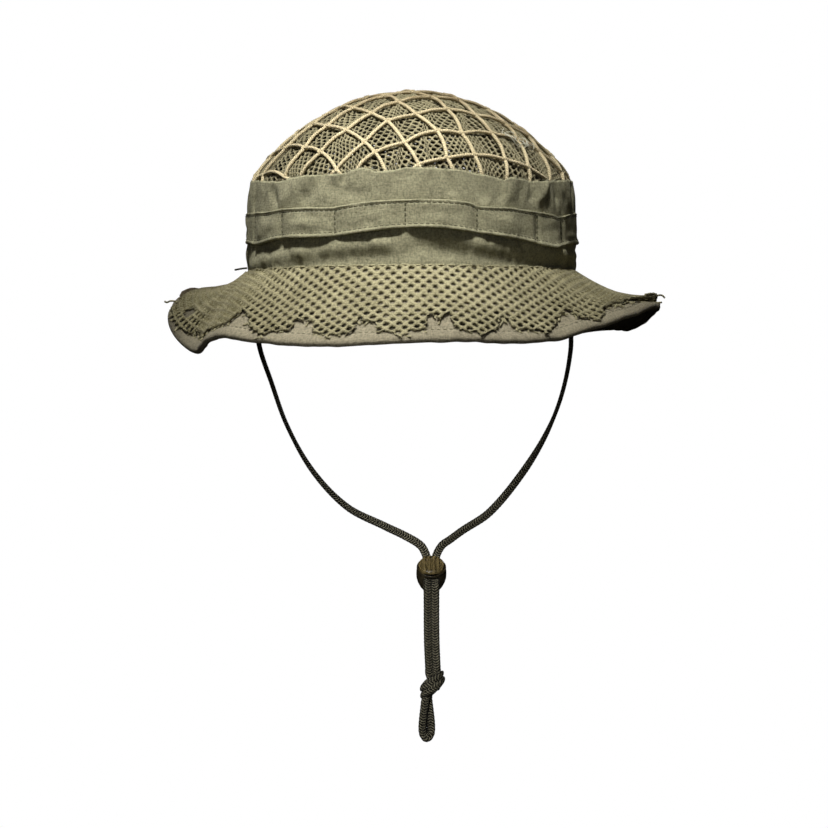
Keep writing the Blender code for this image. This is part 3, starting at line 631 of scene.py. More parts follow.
# %% Chin cord
CORD_WIDE = 4.5 * MM
CORD_THIN = 2.0 * MM
LEFT_ROUTE = [
    (-81.4, 0.0, -1.3), (-81.4, 0.0, -12.0), (-81.6, 0.3, -25.0), (-80.6, 0.7, -38.0),
    (-74.7, 1.9, -55.9), (-66.0, 3.2, -80.0), (-52.5, 5.0, -104.0), (-34.5, 7.2, -123.0),
    (-14.0, 9.6, -133.6), (-3.6, 10.8, -138.6), (4.65, 10.0, -143.59), (7.45, 9.0, -148.09),
    (8.35, 6.4, -151.99), (8.35, -6.17, -162.53), (8.35, -8.38, -165.41), (8.45, -9.17, -168.96),
    (8.6, -9.17, -192.0), (9.3, -9.17, -208.5),
]
RIGHT_ROUTE = [
    (81.4, 0.0, -1.3), (81.6, 0.0, -12.0), (83.9, 0.3, -25.0), (84.3, 0.7, -40.0),
    (79.5, 1.9, -64.0), (71.0, 3.2, -85.1), (58.0, 5.0, -106.2), (41.5, 7.2, -126.0),
    (26.8, 9.6, -136.0), (20.6, 10.8, -140.6), (16.35, 10.0, -143.59), (13.55, 9.0, -148.09),
    (12.65, 6.4, -151.99), (12.65, -6.17, -162.53), (12.65, -8.38, -165.41),
    (12.55, -9.17, -168.96), (12.65, -9.17, -192.0), (13.3, -9.17, -208.5),
]
IN_BORE = 12
LEFT_TURN = ((0, 35), (40, 18), (90, 12), (125, 35), (160, 62), (185, 90), (300, 90))
RIGHT_TURN = ((0, 28), (35, 22), (75, 12), (105, 55), (135, 72), (160, 62), (185, 90), (300, 90))


def braid_section(far):
    """A flat rounded section whose edges swell a little with each crossing of the braid."""
    section = oval_section(CORD_WIDE / 2, CORD_THIN / 2, 16)
    flat = np.sign(section) * np.abs(section / (CORD_WIDE / 2, CORD_THIN / 2)) ** 0.8
    flat = flat * (CORD_WIDE / 2, CORD_THIN / 2)
    swell = 1 + 0.035 * np.sin(2 * math.pi * far / (2.1 * MM))
    return flat[None, :, :] * swell[:, None, None]


def flat_cord(name, line, turns=None, across=None):
    """One stretch of braid. turns gives, by millimetres along the line, how far the flat side has
    turned from facing sideways to facing the front."""
    far = distances(line)
    if across is None:
        run = unit(np.gradient(line, axis=0))
        deep = np.array([0.0, 1.0, 0.0]) - run * run[:, 1:2]
        deep = unit(deep)
        side = np.cross(run, deep)
        angle = np.radians(np.interp(far / MM, *zip(*turns)))[:, None]
        across = deep * np.cos(angle) + side * np.sin(angle)
    skin = Skin()
    sweep(skin, line, across, braid_section(far))
    item = skin.build(name, cord_braid)
    return item, far[-1]


cord_pieces = {}
for side, route, turns in (("left", LEFT_ROUTE, LEFT_TURN), ("right", RIGHT_ROUTE, RIGHT_TURN)):
    points = np.array(route) * MM
    middle = (points[IN_BORE] + points[IN_BORE + 1]) / 2
    upper = smooth_line(np.vstack([points[:IN_BORE + 1], middle]), 0.9 * MM)
    lower = smooth_line(np.vstack([middle, points[IN_BORE + 1:]]), 0.9 * MM)
    piece, length = flat_cord(f"chin_cord_{side}_upper", upper, turns)
    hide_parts(f"chin_cord_{side}")
    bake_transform(piece)
    lean = 66 if side == "left" else 114
    tail, tail_length = flat_cord(f"chin_cord_{side}_lower", lower, ((0, 90), (9, lean), (99, lean)))
    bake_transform(tail)
    cord_pieces[side] = (tail, middle, lower)

# %% [markdown]
# ## Knot and end loop
# Both strands are tied in one overhand knot. Two strands run through its middle on a slant, and a
# third stretch winds round them. The bight that is left hangs below as a loop, flat to the front,
# and the slit between its two sides is painted dark: painted shade.

# %% Knot and end loop
KNOT = np.array([11.1, -9.17, -216.6]) * MM


def knot_line(points):
    return smooth_line(np.array(points) * MM, 0.6 * MM) + KNOT


knot = Skin()
front_strand = knot_line([(-1.8, 0.0, 8.6), (-1.75, -0.2, 6.4), (-1.0, -0.8, 2.0), (-1.8, -1.1, -2.0),
                          (-3.5, -2.0, -7.6)])
back_strand = knot_line([(2.2, 0.0, 8.6), (2.05, 0.2, 6.4), (0.8, 0.8, 2.0), (-0.8, 1.1, -2.0),
                         (-2.4, 2.1, -7.6)])
for line in (front_strand, back_strand):
    slim = np.interp(distances(line) / MM, (0, 2.5, 6, 99), (1.0, 1.0, 0.82, 0.82))
    section = oval_section(CORD_WIDE / 2, CORD_THIN / 2, 16)[None] * slim[:, None, None]
    sweep(knot, line, (1.0, 0.2, 0.0), section)
WRAP_TURNS = 2.15
WRAP_STEPS = 80
wrap = []
for i in range(WRAP_STEPS + 1):
    share = i / WRAP_STEPS
    swing = 2 * math.pi * WRAP_TURNS * share - 1.3
    size = 0.72 + 0.28 * math.sin(math.pi * share) ** 0.4
    x = 5.1 * math.cos(swing) * size
    y = -3.4 * math.sin(swing) * size
    wrap.append((x - 0.1, y, 4.2 - 8.0 * share + 0.5 * x))
wrap = np.array(wrap) * MM + KNOT
steps = np.arange(WRAP_STEPS + 1)
taper = np.clip(np.minimum(steps, WRAP_STEPS - steps) / 9, 0.35, 1.0)
sweep(knot, wrap, (0.5, 0.0, 1.0), oval_section(2.6 * MM, 1.35 * MM, 16)[None] * taper[:, None, None])
knot_piece = settle(knot.build("chin_cord_knot_tied", cord_braid), "chin_cord", "cord_braid",
                    "chin_cord_knot")


def mark(item, label, values):
    """Store one value for each vertex, for the material to read."""
    item.data.attributes.new(label, "FLOAT", "POINT").data.foreach_set("value", values)


eye = knot_line([
    (-2.8, -1.5, -4.6), (-3.8, -1.3, -7.8), (-4.3, -1.0, -12.0), (-5.0, -0.5, -18.0), (-5.25, -0.2, -23.0),
    (-4.7, 0.0, -26.1), (-3.05, 0.0, -27.9), (-1.4, 0.0, -26.1), (-0.85, 0.2, -23.0), (-1.1, 0.5, -18.0),
    (-1.8, 1.0, -12.0), (-2.3, 1.3, -7.8), (-2.4, 1.4, -4.6),
])
middle = np.tile(KNOT + np.array([-3.05, 0.0, 0.0]) * MM, (len(eye), 1))
middle[:, 2] = np.maximum(eye[:, 2], KNOT[2] - 24.4 * MM)
inward = middle - eye
inward[:, 1] = 0.0
EYE_LEAN = math.radians(9)
eye_across = unit(inward) * math.cos(EYE_LEAN) + (0.0, math.sin(EYE_LEAN), 0.0)
eye_piece, eye_length = flat_cord("chin_cord_end_loop", eye, across=eye_across)
settle(eye_piece, "chin_cord", "cord_braid", "chin_cord_loop")
below = (KNOT[2] - eye[:, 2]) / MM
# Painted shade: the inner edges of the loop's two sides are darkened along the slit.
slit = np.interp(below, (8, 12, 25.5, 27.5), (0, 1, 1, 0))
inner = np.clip((np.cos(np.arange(16) * math.pi / 8) - 0.2) / 0.5, 0, 1)
mark(eye_piece, "hollow", np.append(np.outer(slit, inner).ravel(), [0.0, 0.0]))
for side in ("left", "right"):
    tail, middle, lower = cord_pieces[side]
print("end loop length", round(eye_length, 4))

# %% [markdown]
# ## Tools for moulded pieces
# The lock's barrel and button are turned shapes: an outline that is spun round the lock's own axis.
# Openings are cut out with booleans, and a fine bevel catches the light along every edge.

# %% Tools for moulded pieces
LOCK_PLACE = (Matrix.Translation(Vector((10.5, -2.2, -154.5)) * MM)
              @ Matrix.Rotation(math.radians(40), 4, "X"))


def spun(name, outline, steps=72):
    """Spin an outline of (radius, height) in millimetres round Z. It starts and ends on the axis."""
    mesh = bmesh.new()
    verts = [mesh.verts.new((r * MM, 0.0, z * MM)) for r, z in outline]
    edges = [mesh.edges.new(pair) for pair in zip(verts, verts[1:])]
    bmesh.ops.spin(mesh, geom=verts + edges, cent=(0, 0, 0), axis=(0, 0, 1), steps=steps,
                   angle=2 * math.pi, use_merge=True, use_duplicate=False)
    bmesh.ops.remove_doubles(mesh, verts=mesh.verts[:], dist=1e-6)
    bmesh.ops.recalc_face_normals(mesh, faces=mesh.faces[:])
    return finished(name, mesh)


def finished(name, mesh):
    data = bpy.data.meshes.new(name)
    mesh.to_mesh(data)
    mesh.free()
    item = bpy.data.objects.new(name, data)
    scene.collection.objects.link(item)
    return item


def slot_shape(name, low, high, half=4.45, corner=2.0):
    mesh = bmesh.new()
    bmesh.ops.create_cube(mesh, size=1.0)
    for vert in mesh.verts:
        vert.co.x *= 2 * half * MM
        vert.co.y *= 40 * MM
        vert.co.z = (low + (vert.co.z + 0.5) * (high - low)) * MM
    along = [e for e in mesh.edges if abs(e.verts[0].co.y - e.verts[1].co.y) > 0.01]
    bmesh.ops.bevel(mesh, geom=along, offset=corner * MM, segments=5, affect="EDGES", profile=0.5)
    return finished(name, mesh)


def cut_away(item, *cutters, bevel):
    """Cut, round the edges, and keep only the result."""
    for cutter in cutters:
        modifier = item.modifiers.new(cutter.name, "BOOLEAN")
        modifier.operation = "DIFFERENCE"
        modifier.object = cutter
    rounding = item.modifiers.new("edges", "BEVEL")
    rounding.width = bevel * MM
    rounding.segments = 2
    rounding.limit_method = "ANGLE"
    rounding.angle_limit = math.radians(35)
    shaped = bpy.data.meshes.new_from_object(item.evaluated_get(bpy.context.evaluated_depsgraph_get()))
    item.modifiers.clear()
    item.data = shaped
    for cutter in cutters:
        bpy.data.objects.remove(cutter, do_unlink=True)
    shaped.shade_smooth()
    item.data.transform(LOCK_PLACE)
    return item


def paint(item, material):
    item.data.materials.clear()
    item.data.materials.append(material)
    return item


print("lock at", tuple(round(c, 4) for c in LOCK_PLACE.translation))

# %% [markdown]
# ## Barrel, button and spring
# The cord runs through a slot in both the barrel and the button, and the spring pushes the two slots
# out of line to grip it. The spring copies its solid.

# %% Barrel, button and spring
RIBS = 5
RIB_PITCH = 2.45 * MM
barrel = spun("cord_lock_barrel_moulded", [
    (0, -14.6), (3.2, -14.6), (3.2, -9.8), (5.55, -9.8), (5.55, -3.3), (7.1, -3.3), (7.1, -0.15),
    (7.22, 0.0), (7.6, 0.0), (7.8, -0.25), (7.82, -0.9), (7.62, -1.2), (7.7, -1.6), (7.95, -3.0),
    (8.0, -5.0), (7.9, -7.0), (7.4, -9.3), (6.35, -12.1), (4.8, -14.8), (3.4, -16.0), (0, -16.0),
])
cut_away(barrel, slot_shape("bore_tool", -5.9, -1.3), bevel=0.14)
settle(paint(barrel, shaded_barrel_plastic), "cord_lock", "lock_plastic", "cord_lock_barrel")

button = spun("cord_lock_button_moulded", [
    (0, 2.55), (3.0, 2.52), (5.4, 2.36), (6.1, 2.2), (6.6, 1.85), (6.85, 1.3), (6.85, -1.0),
    (5.3, -1.0), (5.3, -7.4), (0, -7.4),
])
grooves = bmesh.new()
for i in range(RIBS):
    made = bmesh.ops.create_cone(grooves, cap_ends=True, segments=16, radius1=0.72 * MM,
                                 radius2=0.72 * MM, depth=9.6 * MM,
                                 matrix=Matrix.Rotation(math.radians(90), 4, "X"))
    for vert in made["verts"]:
        vert.co.x += (i - RIBS // 2) * RIB_PITCH
        vert.co.z += 2.2 * MM
cut_away(button, slot_shape("button_tool", -5.9, 0.7), finished("groove_tool", grooves), bevel=0.12)
settle(paint(button, lock_plastic), "lock_button", "lock_plastic", "cord_lock_button")
solid_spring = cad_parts["cord_lock_spring"]
spring = bpy.data.objects.new("cord_lock_spring_wound", solid_spring.data.copy())
scene.collection.objects.link(spring)
spring.data.shade_smooth()
settle(paint(spring, spring_steel), "cord_lock", "spring_steel", "cord_lock_spring")
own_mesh(spring)
print("lock", len(barrel.data.polygons), "and", len(button.data.polygons), "faces")

# %% [markdown]
# ## The brim's shape
# The brim is a strip of cloth that falls from the seam. Two lists, read round the hat as smooth
# closed curves, say how far its edge drops and how early it drops. Every layer of the brim is laid
# on this one surface at its own height.

# %% The brim's shape
HALF_WIDTH = 86.0 * MM
HALF_LENGTH = 99.5 * MM
BRIM_SLOPE = 48.5 * MM
BRIM_WIDTH = (
    (0, 48.5), (60, 48.5), (95, 47.7), (180, 48.5), (255, 48.0), (273, 50.5), (290, 51.0), (308, 48.5),
)
BRIM_DROP = (
    (0, 37.5), (14, 36.9), (27, 37.4), (37, 35.4), (47, 29.6), (60, 22.2), (72, 17.6), (84, 16.6),
    (93, 18.0), (101, 23.0), (109, 26.6), (122, 25.6), (142, 28.0), (165, 27.0), (190, 29.0),
    (212, 25.0), (229, 14.0), (240, 7.8), (248, 8.8), (258, 15.5), (266, 22.8), (273, 32.0),
    (280, 39.3), (287, 41.2), (294, 39.3), (302, 35.4), (309, 33.9), (318, 36.3), (337, 39.2),
)
BRIM_CURL = (
    (0, 0.1), (45, 0.2), (75, 0.8), (92, 0.8), (115, 0.1), (180, 0.1), (240, 0.6), (262, 0.3),
    (287, -0.2), (312, 0.1),
)


def value_round(stations, degrees):
    """Read the closed smooth curve through (azimuth, value) stations at many azimuths."""
    where = np.array([w + lap for lap in (-360, 0, 360) for w, _ in stations], float)
    value = np.array([v for _ in range(3) for _, v in stations], float)
    wanted = np.asarray(degrees, float) % 360
    i = np.searchsorted(where, wanted, side="right") - 1
    span = where[i + 1] - where[i]
    slope_1 = span * (value[i + 1] - value[i - 1]) / (where[i + 1] - where[i - 1])
    slope_2 = span * (value[i + 2] - value[i]) / (where[i + 2] - where[i])
    return hermite(value[i], value[i + 1], slope_1, slope_2, (wanted - where[i]) / span)


def oval(degrees, out, height):
    """Points on the crown's oval, moved outwards by out."""
    side = np.radians(degrees)
    x = (HALF_WIDTH + out) * np.sin(side)
    y = -(HALF_LENGTH + out) * np.cos(side)
    return np.stack(np.broadcast_arrays(x, y, height), axis=-1)


def oval_away(degrees):
    side = np.radians(degrees)
    away = np.stack([HALF_LENGTH * np.sin(side), -HALF_WIDTH * np.cos(side), 0 * side], axis=-1)
    return unit(away)


def brim_surface(degrees, share):
    drop = value_round(BRIM_DROP, degrees) * MM
    curl = value_round(BRIM_CURL, degrees)
    run = np.sqrt((value_round(BRIM_WIDTH, degrees) * MM) ** 2 - drop ** 2)
    fall = 0.4 * MM + drop * share * (1 + curl * (1 - share))
    return oval(degrees, 0.0, -fall) + oval_away(degrees) * (run * share)[..., None]


def brim_at(degrees, share, lift):
    """Points at a height square to the brim's upper face."""
    degrees, share, lift = np.broadcast_arrays(np.asarray(degrees, float), share, lift)
    along = brim_surface(degrees + 0.5, share) - brim_surface(degrees - 0.5, share)
    inner = np.maximum(0.0, share - 0.02)
    out = brim_surface(degrees, inner + 0.04) - brim_surface(degrees, inner)
    face = unit(np.cross(out, along))
    return brim_surface(degrees, share) + face * lift[..., None]


seam_turn = np.arange(-190, 190.1, 0.5)
seam_far = distances(oval(seam_turn, 0.0, 0.0))
seam_far = seam_far - np.interp(0.0, seam_turn, seam_far)
half_seam = np.interp(180.0, seam_turn, seam_far)
BRIM_CONE = 160 * MM


def brim_from_flat(x, y):
    """Azimuth, distance from the seam and place along it of points of the cone's flat pattern."""
    along = np.arctan2(x, -y) * BRIM_CONE
    return np.interp(along, seam_far, seam_turn), np.hypot(x, y) - BRIM_CONE, along


def brim_to_flat(degrees, reach):
    angle = np.interp(degrees, seam_turn, seam_far) / BRIM_CONE
    return np.stack([np.sin(angle), -np.cos(angle)], axis=-1) * (BRIM_CONE + reach)


edge_line = brim_surface(np.arange(0, 360, 2.0), np.ones(180))
print("brim edge height", round(edge_line[:, 2].min(), 4), "to", round(edge_line[:, 2].max(), 4))

# %% [markdown]
# ## Brim cloth
# The upper ply is a sheet of rings that ends in a rolled hem. Soft puckers run across it near the
# hem, where the stitching pulls the cloth in. The lower ply is laid close under it.

# %% Brim cloth
BRIM_POINTS = 400
brim_turn = np.arange(BRIM_POINTS) * 360.0 / BRIM_POINTS - 180.0
brim_closed = np.append(brim_turn, 180.0)


def pucker(degrees, share):
    """Small waves in the cloth, stronger towards the hem."""
    turns = np.ravel(np.radians(degrees))
    shares = np.ravel(np.broadcast_to(share, np.shape(degrees)))
    values = [
        0.55 * grain(9 * math.cos(a), 9 * math.sin(a), 3.0 * b)
        + 0.5 * b * b * grain(21 * math.cos(a), 21 * math.sin(a), 2.0 * b + 5.0)
        for a, b in zip(turns, shares)
    ]
    return np.array(values).reshape(np.shape(degrees)) * MM


def brim_rows(shares, lift):
    rows = []
    uvs = []
    for share, height in zip(shares, lift):
        wave = pucker(brim_turn, share)
        rows.append(brim_at(brim_turn, np.full(BRIM_POINTS, share), height + wave))
        uvs.append(brim_to_flat(brim_closed, share * BRIM_SLOPE))
    return np.array(rows), np.array(uvs)


def seat_row(lift, inset=2.2 * MM):
    return oval(brim_turn, -inset, -0.4 * MM + lift), brim_to_flat(brim_closed, -inset)


def brim_ply(name, material, shares, lifts, seat_lift):
    rows, uvs = brim_rows(shares, lifts)
    ring, ring_uv = seat_row(seat_lift)
    skin = Skin()
    ring_sheet(skin, np.concatenate([ring[None], rows]), np.concatenate([ring_uv[None], uvs]))
    return skin.build(name, material)


UNDER_LIFT = -1.15 * MM
PLY = 0.75 * MM
top_shares = np.concatenate([np.linspace(0.015, 0.84, 16), [0.865, 0.885, 0.91, 0.94, 0.965, 0.985,
                             0.99, 0.995, 0.992, 0.98]])
top_lift = np.concatenate([np.zeros(16), np.array([0.1, 0.55, 0.8, 0.85, 0.8, 0.55, 0.1, -0.5, -1.05,
                           -1.3]) * MM])
brim_top = brim_ply("brim_top_sewn", brim_cloth, top_shares, top_lift, 0.0)
thicken(brim_top, PLY)
settle(brim_top, "hat", "brim_cloth", "brim_top_cloth")
under_shares = np.linspace(0.015, 0.975, 18)
brim_under = brim_ply("brim_under_sewn", shaded_under_cloth, under_shares, np.full(18, UNDER_LIFT), UNDER_LIFT)
thicken(brim_under, PLY)
settle(brim_under, "hat", "brim_cloth", "brim_under_cloth")
print("brim plies", len(brim_top.data.polygons), len(brim_under.data.polygons))

# %% [markdown]
# ## Perforated mesh
# The mesh is a lattice of holes in staggered rows. Rings of eight faces lead from the middle of the
# strands down to the edge of each hole, and neighbours share the strand's vertices. The flat sheet is
# then laid on a surface, and Solidify gives it its thickness. An image of holes would look flat at
# the cut edge, so the holes are real.

# %% Perforated mesh
RING = ((2, 0), (1, 1), (0, 2), (-1, 1), (-2, 0), (-1, -1), (0, -2), (1, -1))


def lattice(half, turn, pitch, row, levels, keep, hole):
    """Flat points, hollowness (0 on a strand, 1 at a hole's edge) and faces of a perforated sheet.
    keep(x, y) says which holes exist; hole(x, y) gives a hole's half width and half height."""
    points = []
    hollow = []
    faces = []
    shared = {}
    cosine, sine = math.cos(turn), math.sin(turn)

    def turned(x, y):
        return x * cosine - y * sine, x * sine + y * cosine

    def strand(a, b):
        if (a, b) not in shared:
            shared[a, b] = len(points)
            points.append(turned(a * pitch / 4, b * row / 2))
            hollow.append(0.0)
        return shared[a, b]

    columns = int(half / pitch) + 1
    rows = int(half / row) + 1
    for j in range(-rows, rows + 1):
        for i in range(-columns, columns + 1):
            a, b = 4 * i + 2 * (j % 2), 2 * j
            x, y = turned(a * pitch / 4, b * row / 2)
            if not keep(x, y):
                continue
            wide, high = hole(x, y)
            ring = [strand(a + da, b + db) for da, db in RING]
            edge = [turned(wide * math.cos(math.pi / 4 * k), high * math.sin(math.pi / 4 * k))
                    for k in range(8)]
            outer = [points[i] for i in ring]
            for level in levels:
                inner = list(range(len(points), len(points) + 8))
                points.extend((px + (x + ex - px) * level, py + (y + ey - py) * level)
                              for (px, py), (ex, ey) in zip(outer, edge))
                hollow.extend([level ** 1.5] * 8)
                faces.extend((ring[k], ring[k - 7], inner[k - 7], inner[k]) for k in range(8))
                ring = inner
    return np.array(points), np.array(hollow), faces


def mesh_sheet(name, flat, places, faces, hollow, material):
    skin = Skin()
    uv = [tuple(flat[i]) for face in faces for i in face]
    skin.add(places, faces, uv)
    item = skin.build(name, material)
    mark(item, "hollow", hollow)
    return item


def jitter(flat, amount, scale, seed):
    moved = [(grain(x / scale, y / scale, seed), grain(x / scale, y / scale, seed + 50.0))
             for x, y in flat]
    return flat + np.array(moved) * amount


print("lattice ring of", len(RING), "points")

# %% [markdown]
# ## Mesh on the brim
# The flat sheet is part of a cone's pattern, so that it lies without stretching where the brim hangs
# steeply. Its edge was cut by hand, and the list of shares follows that cut along the front. Faces
# beyond the cut are dropped, and what is left lifts a little near the edge.

# %% Mesh on the brim
CUT_EDGE = (
    (-104, 0.88), (-97, 0.95), (-88, 0.93), (-84, 0.88), (-79, 0.82), (-74, 0.85), (-70, 0.88),
    (-66, 0.82), (-62, 0.88), (-57, 0.88),
    (-52, 0.82), (-50.8, 0.73), (-50, 0.63), (-47, 0.71), (-43, 0.88), (-39.5, 0.95), (-37.5, 0.93),
    (-36, 0.87), (-32.2, 0.86), (-31.7, 0.77), (-31, 0.68), (-28.8, 0.71), (-26.2, 0.72),
    (-25.2, 0.86), (-21.5, 0.89), (-20, 0.97), (-19.2, 0.89), (-14.2, 0.91), (-13.5, 0.71),
    (-8.7, 0.74), (-7.9, 0.9), (-6.5, 0.88), (-3.8, 0.92), (-2, 1.0), (-0.2, 0.91), (3.6, 0.91),
    (4.4, 0.67), (6.2, 0.68), (7.2, 0.76), (8.2, 0.68), (9.6, 0.64), (10.4, 0.88), (14.8, 0.92),
    (16.2, 0.99), (18.2, 0.89), (21.4, 0.88), (22.4, 0.72), (25, 0.7), (26, 0.86), (32.2, 0.9),
    (33.2, 0.99), (35.2, 0.95), (37.2, 0.84), (40.5, 0.74), (43.6, 0.66), (44.8, 0.84), (48.2, 0.98),
    (49.8, 0.95), (53, 0.8), (60, 0.76), (67, 0.78), (73, 0.88), (82, 0.97), (93, 0.96), (102, 0.86),
)


def ragged_end(degrees):
    """How far down the brim the cut edge of the mesh lies, as a share of the slope."""
    degrees = np.asarray(degrees, float)
    tooth = (degrees + 11.25) * 20 / 360.0
    wave = np.minimum(1.0, 2.4 * np.abs(np.sin(np.pi * tooth)))
    rough = np.array([0.05 * grain(a * 0.9, 3.0) for a in np.ravel(degrees)]).reshape(degrees.shape)
    behind = 0.7 + 0.21 * wave + rough
    front = np.interp(degrees, *zip(*CUT_EDGE))
    return np.where((degrees > -104) & (degrees < 102), front, behind)


def in_brim(x, y):
    degrees, reach, along = brim_from_flat(x, y)
    return abs(along) < half_seam + 3 * MM and -0.03 < reach / BRIM_SLOPE < ragged_end(degrees) + 0.09


def inside_cut(flat):
    """Which places lie above the cut edge of the brim's mesh and outside the tear at its left."""
    degrees, reach, along = brim_from_flat(flat[:, 0], flat[:, 1])
    share = reach / BRIM_SLOPE
    torn = ((degrees + 90) / 2.4) ** 2 + ((share - 0.74) / 0.06) ** 2 < 1
    return (share < ragged_end(degrees)) & ~torn


def trimmed(flat, hollow, faces, inside):
    """Cut a sheet: keep the faces whose middle is inside, and the points that they use."""
    faces = np.array(faces)
    faces = faces[inside(flat[faces].mean(axis=1))]
    used, faces = np.unique(faces, return_inverse=True)
    return flat[used], hollow[used], faces.reshape(-1, 4).tolist()


def brim_hole(x, y):
    reach = (math.hypot(x, y) - BRIM_CONE) / BRIM_SLOPE
    size = (1.0 + 0.15 * grain(x * 160, y * 160)) * np.interp(reach, (0.45, 0.8), (0.88, 1.08)) * MM
    size *= np.interp(abs(math.atan2(x, -y)) * BRIM_CONE / MM, (95, 135), (1.0, 1.25))
    return 1.2 * size, 0.98 * size


brim_flat, brim_hollow, brim_faces = lattice(
    212 * MM, 0.0, 5.8 * MM, 3.0 * MM, (0.5, 1.0), in_brim, brim_hole)
brim_flat, brim_hollow, brim_faces = trimmed(brim_flat, brim_hollow, brim_faces, inside_cut)
brim_flat = jitter(brim_flat, 0.8 * MM, 14 * MM, 1.0)
degrees, reach, along = brim_from_flat(brim_flat[:, 0], brim_flat[:, 1])
share = np.maximum(reach / BRIM_SLOPE, 0.012)
waves = np.array([grain(x * 55, y * 55, 4.0) for x, y in brim_flat])
loose = np.clip((share - ragged_end(degrees) + 0.24) / 0.16, 0, 1) * np.clip((share - 0.4) / 0.2, 0, 1)
lap = np.clip((along - half_seam + 8 * MM) / (6 * MM), 0, 1)
flap = np.exp(-((degrees - 81) / 11) ** 2) * np.clip((share - ragged_end(degrees) + 0.4) / 0.35, 0, 1)
lift = 2.4 + 0.15 * waves + loose * (0.7 + 0.7 * waves) + 2.6 * flap + 0.8 * lap - 1.0 * brim_hollow
lift = lift * MM + pucker(degrees, share)
# Painted shade: the yarn is darkened towards the sides of the brim, where the light falls off, and at the
# edges of the holes.
side_shade = np.clip(1.6 - 1.6 * np.cos(np.radians(degrees - 6)), 0, 0.62)
brim_mesh = mesh_sheet("brim_mesh_knit", brim_flat, brim_at(degrees, share, lift), brim_faces,
                       np.maximum(0.4 * brim_hollow, side_shade), brim_yarn)
thicken(brim_mesh, 0.7 * MM)
settle(brim_mesh, "hat", "mesh_cloth", "brim_mesh")
# Painted shadow on the brim cloth under the mesh: near the mesh's cut edge, towards the sides and round the
# tear at the left, so the holes there look deep and dark.
cut = ragged_end(brim_turn)
tear_shade = 0.75 * np.exp(-((brim_turn + 91) / 9) ** 2)
sides = 0.7 * np.clip((np.abs(brim_turn) - 52) / 20, 0, 1)
mesh_shadow = [np.clip((cut - 0.03 - s) / 0.05, 0, 1) * np.maximum(np.clip((s - cut + 0.25) / 0.14, 0, 1), sides)
         for s in (0.0, *top_shares)]
mesh_shadow = [np.maximum(row, tear_shade * (s > 0.55)) for row, s in zip(mesh_shadow, (0.0, *top_shares))]
mark(brim_top, "hollow", np.concatenate(mesh_shadow))
print("brim mesh", len(brim_faces) // 16, "holes")

# %% [markdown]
# ## Mesh dome
# The dome of the crown is the same mesh. The flat sheet is laid over it by arc length from the top,
# as a real sheet would lie. It is gathered round the crown: in the gathers the holes close to slits
# between upright ridges, and beside them they stand open.

# %% Mesh dome
CAP_TOP = 95.0 * MM
CAP_SHOULDER = 47.0 * MM
CAP_IN = -1.4 * MM
GATHERS = 21


def cap_height(share):
    return CAP_SHOULDER + (CAP_TOP - CAP_SHOULDER) * np.maximum(0.0, 1 - share * share) ** 0.85


cap_shares = np.linspace(0, 1, 400)
cap_run = np.stack([cap_shares * (92.75 * MM + CAP_IN), cap_height(cap_shares)], axis=1)
cap_arc = distances(cap_run)


def cap_surface(flat):
    """Where points of a flat sheet come to lie on the dome, and below its shoulder on the skirt."""
    reach = np.linalg.norm(flat, axis=-1)
    degrees = np.degrees(np.arctan2(flat[..., 0], -flat[..., 1]))
    share = np.interp(reach, cap_arc, cap_shares)
    below = np.maximum(0.0, reach - cap_arc[-1])
    rim = oval(degrees, CAP_IN - 0.9 * MM * np.sin(np.radians(degrees)) ** 2, 0.0)
    placed = rim * share[..., None]
    placed[..., 2] = cap_height(share) - below
    return placed


def cap_at(flat, lift):
    flat = np.asarray(flat, float)
    step = 0.4 * MM
    right = cap_surface(flat + (step, 0)) - cap_surface(flat - (step, 0))
    back = cap_surface(flat + (0, step)) - cap_surface(flat - (0, step))
    face = unit(np.cross(right, back))
    return cap_surface(flat) + face * np.asarray(lift)[..., None]


def gather_phase(x, y):
    return GATHERS * math.atan2(x, -y) + 5.0 * grain(x * 24, y * 24, 2.0)


def dome_hole(x, y):
    size = (0.95 + 0.2 * math.cos(gather_phase(x, y)) + 0.15 * grain(x * 300, y * 300)) * MM
    size *= np.interp(y / MM, (5, 40), (1.0, 0.5))
    return size, 1.05 * size


dome_flat, dome_hollow, dome_faces = lattice(
    130 * MM, math.radians(12), 3.25 * MM, 3.05 * MM, (1.0,),
    lambda x, y: math.hypot(x, y) < cap_arc[-1] + 6 * MM, dome_hole)
phase = np.array([gather_phase(x, y) for x, y in dome_flat])
tight = np.clip(-np.cos(phase), 0, 1)
reach = np.linalg.norm(dome_flat, axis=1)
sideways = np.stack([-dome_flat[:, 1], dome_flat[:, 0]], axis=1) / GATHERS
bumps = np.array([grain(x * 70, y * 70, 6.0) for x, y in dome_flat])
dome_flat = jitter(dome_flat, 0.9 * MM, 11 * MM, 20.0) + sideways * (0.5 * np.sin(phase))[:, None]
calm = np.clip((cap_arc[-1] + 1 * MM - reach) / (8 * MM), 0, 1)
dome_lift = calm * (0.6 * tight + 0.7 * bumps) + (0.25 - 0.55 * dome_hollow) * (1 + 0.9 * tight)
# Painted shade: the yarn darkens towards the edge of each hole, more in the gathers.
dome = mesh_sheet("crown_mesh_knit", dome_flat, cap_at(dome_flat, dome_lift * MM), dome_faces,
                  dome_hollow * (0.55 + 0.45 * tight), dome_yarn)
thicken(dome, 0.7 * MM)
settle(dome, "hat", "mesh_cloth", "crown_mesh_cap")
print("dome mesh", len(dome_faces) // 8, "holes")

# %% [markdown]
# ## String net
# The net is a grid of three-ply strings, laid on the dome in the same flat way and tied where they
# cross. Each stretch between knots has a little slack, so it bows to one side and lifts off the mesh.

